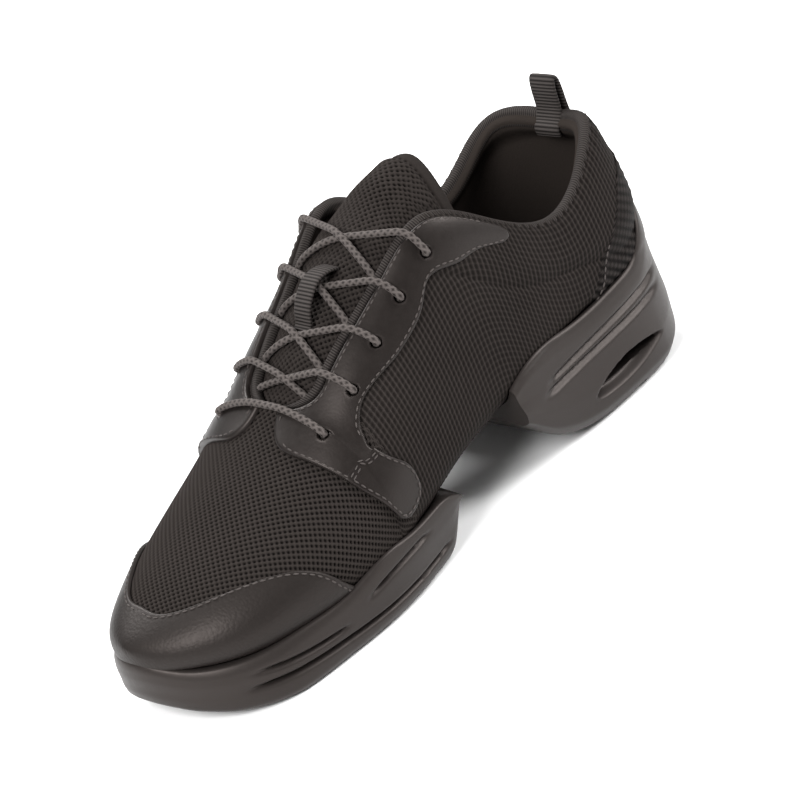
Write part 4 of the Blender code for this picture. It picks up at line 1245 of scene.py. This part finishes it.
def make_sole(name, node, first, last, spacing, tables, wall_rows, treads, open_row):
    """Foam of one sole; open_row is the ring that a flat end face closes."""
    top_tab, low_tab, wall_tab = [np.array(table) for table in tables]
    points = []
    values = []
    faces = []
    base = 0
    for side in (-1, 1):
        q, _ = turns_by_distance(first, last, spacing, -1, row=0.0)
        t = share(q)
        top = natural_spline(top_tab[:, 0], top_tab[:, 1 if side < 0 else 2], t)
        low = soften(np.interp(t, low_tab[:, 0], low_tab[:, 1]), 8)
        w = np.concatenate([[1, 0.996, 0.988, 0.976], np.linspace(0.96, 0.05, wall_rows), [0.030, 0.014, 0.004, 0]])
        stand = soften(np.interp(w[::-1], wall_tab[::-1, 0], wall_tab[::-1, 1])[::-1], 5)
        lip = np.sqrt(np.clip(1 - (1 - np.clip((1 - w) / 0.03, 0, 1)) ** 2, 0, 1))
        stand = stand * (0.25 + 0.75 * lip)
        heights = low[:, None] + w[None, :] * (top - low)[:, None]
        q2 = np.repeat(q[:, None], len(w), 1)
        rows = np.maximum(at_height(q2, heights, side), SHADOW_ROW)
        flow = surface(q2, rows, side)
        out = normal(q, 0.0 * q, side)
        out[:, 2] = 0
        out = unit(out)[:, None, :]
        extra = np.array(SPREAD)
        spread = np.interp(t, extra[:, 0], extra[:, 1])[:, None] * (1 - w[None, :]) ** 0.7
        foot = 1 - np.clip(w / 0.05, 0, 1)
        amount = stand[None, :] + spread - 0.0016 * foot[None, :] ** 2
        amount = amount - groove_depth(flow[..., 0], heights)
        if name == "heel_foam":
            amount = amount - scoop_depth(flow[..., 0], heights)
        outer = flow + out * amount[..., None]
        outer[..., 2] = heights
        tread = tread_depth(t, *treads)[:, None]
        outer[..., 2] += tread * foot[None, :] ** 0.5
        edge = outer[:, -1]
        middle = surface(q, -1.0 + 0 * q, side)
        mid = np.stack([middle[:, 0], middle[:, 1], low], 1)
        f = np.linspace(0, 1, 26)[1:]
        under = edge[:, None, :] + (mid - edge)[:, None, :] * f[None, :, None]
        fine = 0.0004 * (0.5 + 0.5 * np.cos(2 * np.pi * under[..., 0] / 0.0032)) * (tread < 0.0003)
        under[..., 2] = low[:, None] + tread + fine
        chain = np.concatenate([outer, under], 1)[:, ::-1]
        s_top = at_height(q, top, side)
        n_in = 30
        s_in = s_top[:, None] + (-1 - s_top[:, None]) * np.linspace(0, 1, n_in)[None, :]
        inner = skin(np.repeat(q[:, None], n_in, 1), s_in, side, np.full(s_in.shape, 0.0005))
        loop = np.concatenate([chain, inner], 1)
        rows_n, cols_n = loop.shape[:2]
        points.append(loop.reshape(-1, 3))
        # the inner wall against the upper keeps the deep tone as painted shade; the outside and underside are
        # lighter
        tone_shaded_inside = np.zeros(loop.shape[:2])
        tone_shaded_inside[:, :chain.shape[1]] = 0.4
        values.append(tone_shaded_inside.ravel())
        grid = grid_faces(rows_n, cols_n, base)
        faces += (grid if side < 0 else grid[:, ::-1]).tolist()
        n_out = chain.shape[1]
        a = base + open_row % rows_n * cols_n
        partner = [cols_n - 1 - int(round(k * (n_in - 1) / (n_out - 1))) for k in range(n_out)]
        for k in range(n_out - 1):
            face = [a + k, a + k + 1, a + partner[k + 1], a + partner[k]]
            if partner[k] == partner[k + 1]:
                face = face[:3]
            if len(set(face)) > 2:
                faces.append(face)
        base += rows_n * cols_n
    mesh = new_mesh(name, np.concatenate(points).tolist(), faces, np.concatenate(values))
    clean(mesh, seams=4e-6, slivers=1e-6)
    mesh.materials.append(RUBBER)
    obj = linked(name, mesh)
    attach(obj, "root")
    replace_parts(obj, node)
    return obj


def window_tool():
    """Curved lens in the side view, straight across the heel."""
    n = 40
    lower = []
    higher = []
    for i in range(n):
        u = i / (n - 1)
        x = SHIFT_X + 0.0650 + (0.1010 - 0.0650) * u
        arch = math.sin(math.pi * (0.03 + 0.94 * u)) ** 0.7
        z = 0.0128 + 0.0010 * u
        lower.append((x, z - 0.0016 * arch))
        higher.append((x, z + 0.0038 * arch))
    loop = lower + higher[::-1]
    points = [(x, -0.080, z) for x, z in loop] + [(x, 0.080, z) for x, z in loop]
    m = len(loop)
    faces = [list(range(m)), list(range(2 * m - 1, m - 1, -1))]
    for i in range(m):
        j = (i + 1) % m
        faces.append([i, j, m + j, m + i])
    mesh = new_mesh("window", points, faces)
    clean(mesh)
    return linked("window", mesh)


def cut(obj, tool):
    mod = obj.modifiers.new("cut", "BOOLEAN")
    mod.operation = "DIFFERENCE"
    mod.solver = "EXACT"
    mod.object = tool
    bpy.context.view_layer.objects.active = obj
    bpy.ops.object.modifier_apply(modifier=mod.name)
    bpy.data.objects.remove(tool, do_unlink=True)


fore = make_sole("forefoot_foam", "forefoot_sole", 0.0, 0.460, 0.0011, (FORE_TOP, FORE_LOW, FORE_WALL), 46,
                 (0.130, 0.420, 4), -1)
heel = make_sole("heel_foam", "heel_sole", 0.605, 1.0, 0.0010, (HEEL_TOP, HEEL_LOW, HEEL_WALL), 84,
                 (0.760, 0.925, 2), 0)
cut(heel, window_tool())
for sole in (fore, heel):
    sole.data.shade_smooth()
    sole.data.set_sharp_from_angle(angle=math.radians(42))


# Floor, light and camera
def make_floor():
    mesh = new_mesh("floor", [(-4, -4, 0), (4, -4, 0), (4, 4, 0), (-4, 4, 0)], [(0, 1, 2, 3)])
    m = bpy.data.materials.new("floor_paint")
    m.use_nodes = True
    shader = m.node_tree.nodes["Principled BSDF"]
    shader.inputs["Base Color"].default_value = (0.93, 0.93, 0.93, 1)
    shader.inputs["Roughness"].default_value = 0.9
    shader.inputs["Specular IOR Level"].default_value = 0.1
    mesh.materials.append(m)
    obj = linked("floor", mesh)


def aim(obj, target):
    way = Vector(target) - obj.location
    obj.rotation_euler = way.to_track_quat("-Z", "Y").to_euler()


def softbox(name, place, size, watts):
    data = bpy.data.lights.new(name, "AREA")
    data.shape = "RECTANGLE"
    data.size = size[0]
    data.size_y = size[1]
    data.energy = watts
    obj = linked(name, data)
    obj.location = place
    aim(obj, (0, 0, 0.04))


make_floor()
softbox("key_left", (-1.1, -0.3, 1.0), (0.7, 0.7), 30)
softbox("rim_right", (0.9, -0.7, 0.9), (0.5, 0.9), 24)
softbox("top_back", (0.2, 1.0, 1.1), (1.0, 0.5), 26)
world = bpy.data.worlds.new("studio")
world.use_nodes = True
world.node_tree.nodes["Background"].inputs["Color"].default_value = (1, 1, 1, 1)
world.node_tree.nodes["Background"].inputs["Strength"].default_value = 0.33
bpy.context.scene.world = world
bpy.context.scene.view_settings.view_transform = "Standard"

# camera: place, azimuth and elevation of its line of sight, roll, and lens
CAMERA_PLACE = (-0.559243, -0.725052, 0.530723)
CAMERA_AZIMUTH = -38.288
CAMERA_ELEVATION = 28.099
CAMERA_ROLL = -20.318
CAMERA_LENS = 131.93


def make_camera():
    a = math.radians(CAMERA_AZIMUTH)
    e = math.radians(CAMERA_ELEVATION)
    r = math.radians(CAMERA_ROLL)
    back = np.array([math.sin(a) * math.cos(e), -math.cos(a) * math.cos(e), math.sin(e)])
    right = np.array([math.cos(a), math.sin(a), 0.0])
    up = np.cross(back, right)
    right, up = right * math.cos(r) + up * math.sin(r), up * math.cos(r) - right * math.sin(r)
    data = bpy.data.cameras.new("camera")
    data.lens = CAMERA_LENS
    data.sensor_width = 36
    cam = linked("camera", data)
    grid = np.eye(4)
    grid[:3] = np.stack([right, up, back, np.array(CAMERA_PLACE)], 1)
    cam.matrix_world = Matrix(grid.tolist())
    bpy.context.scene.camera = cam


make_camera()
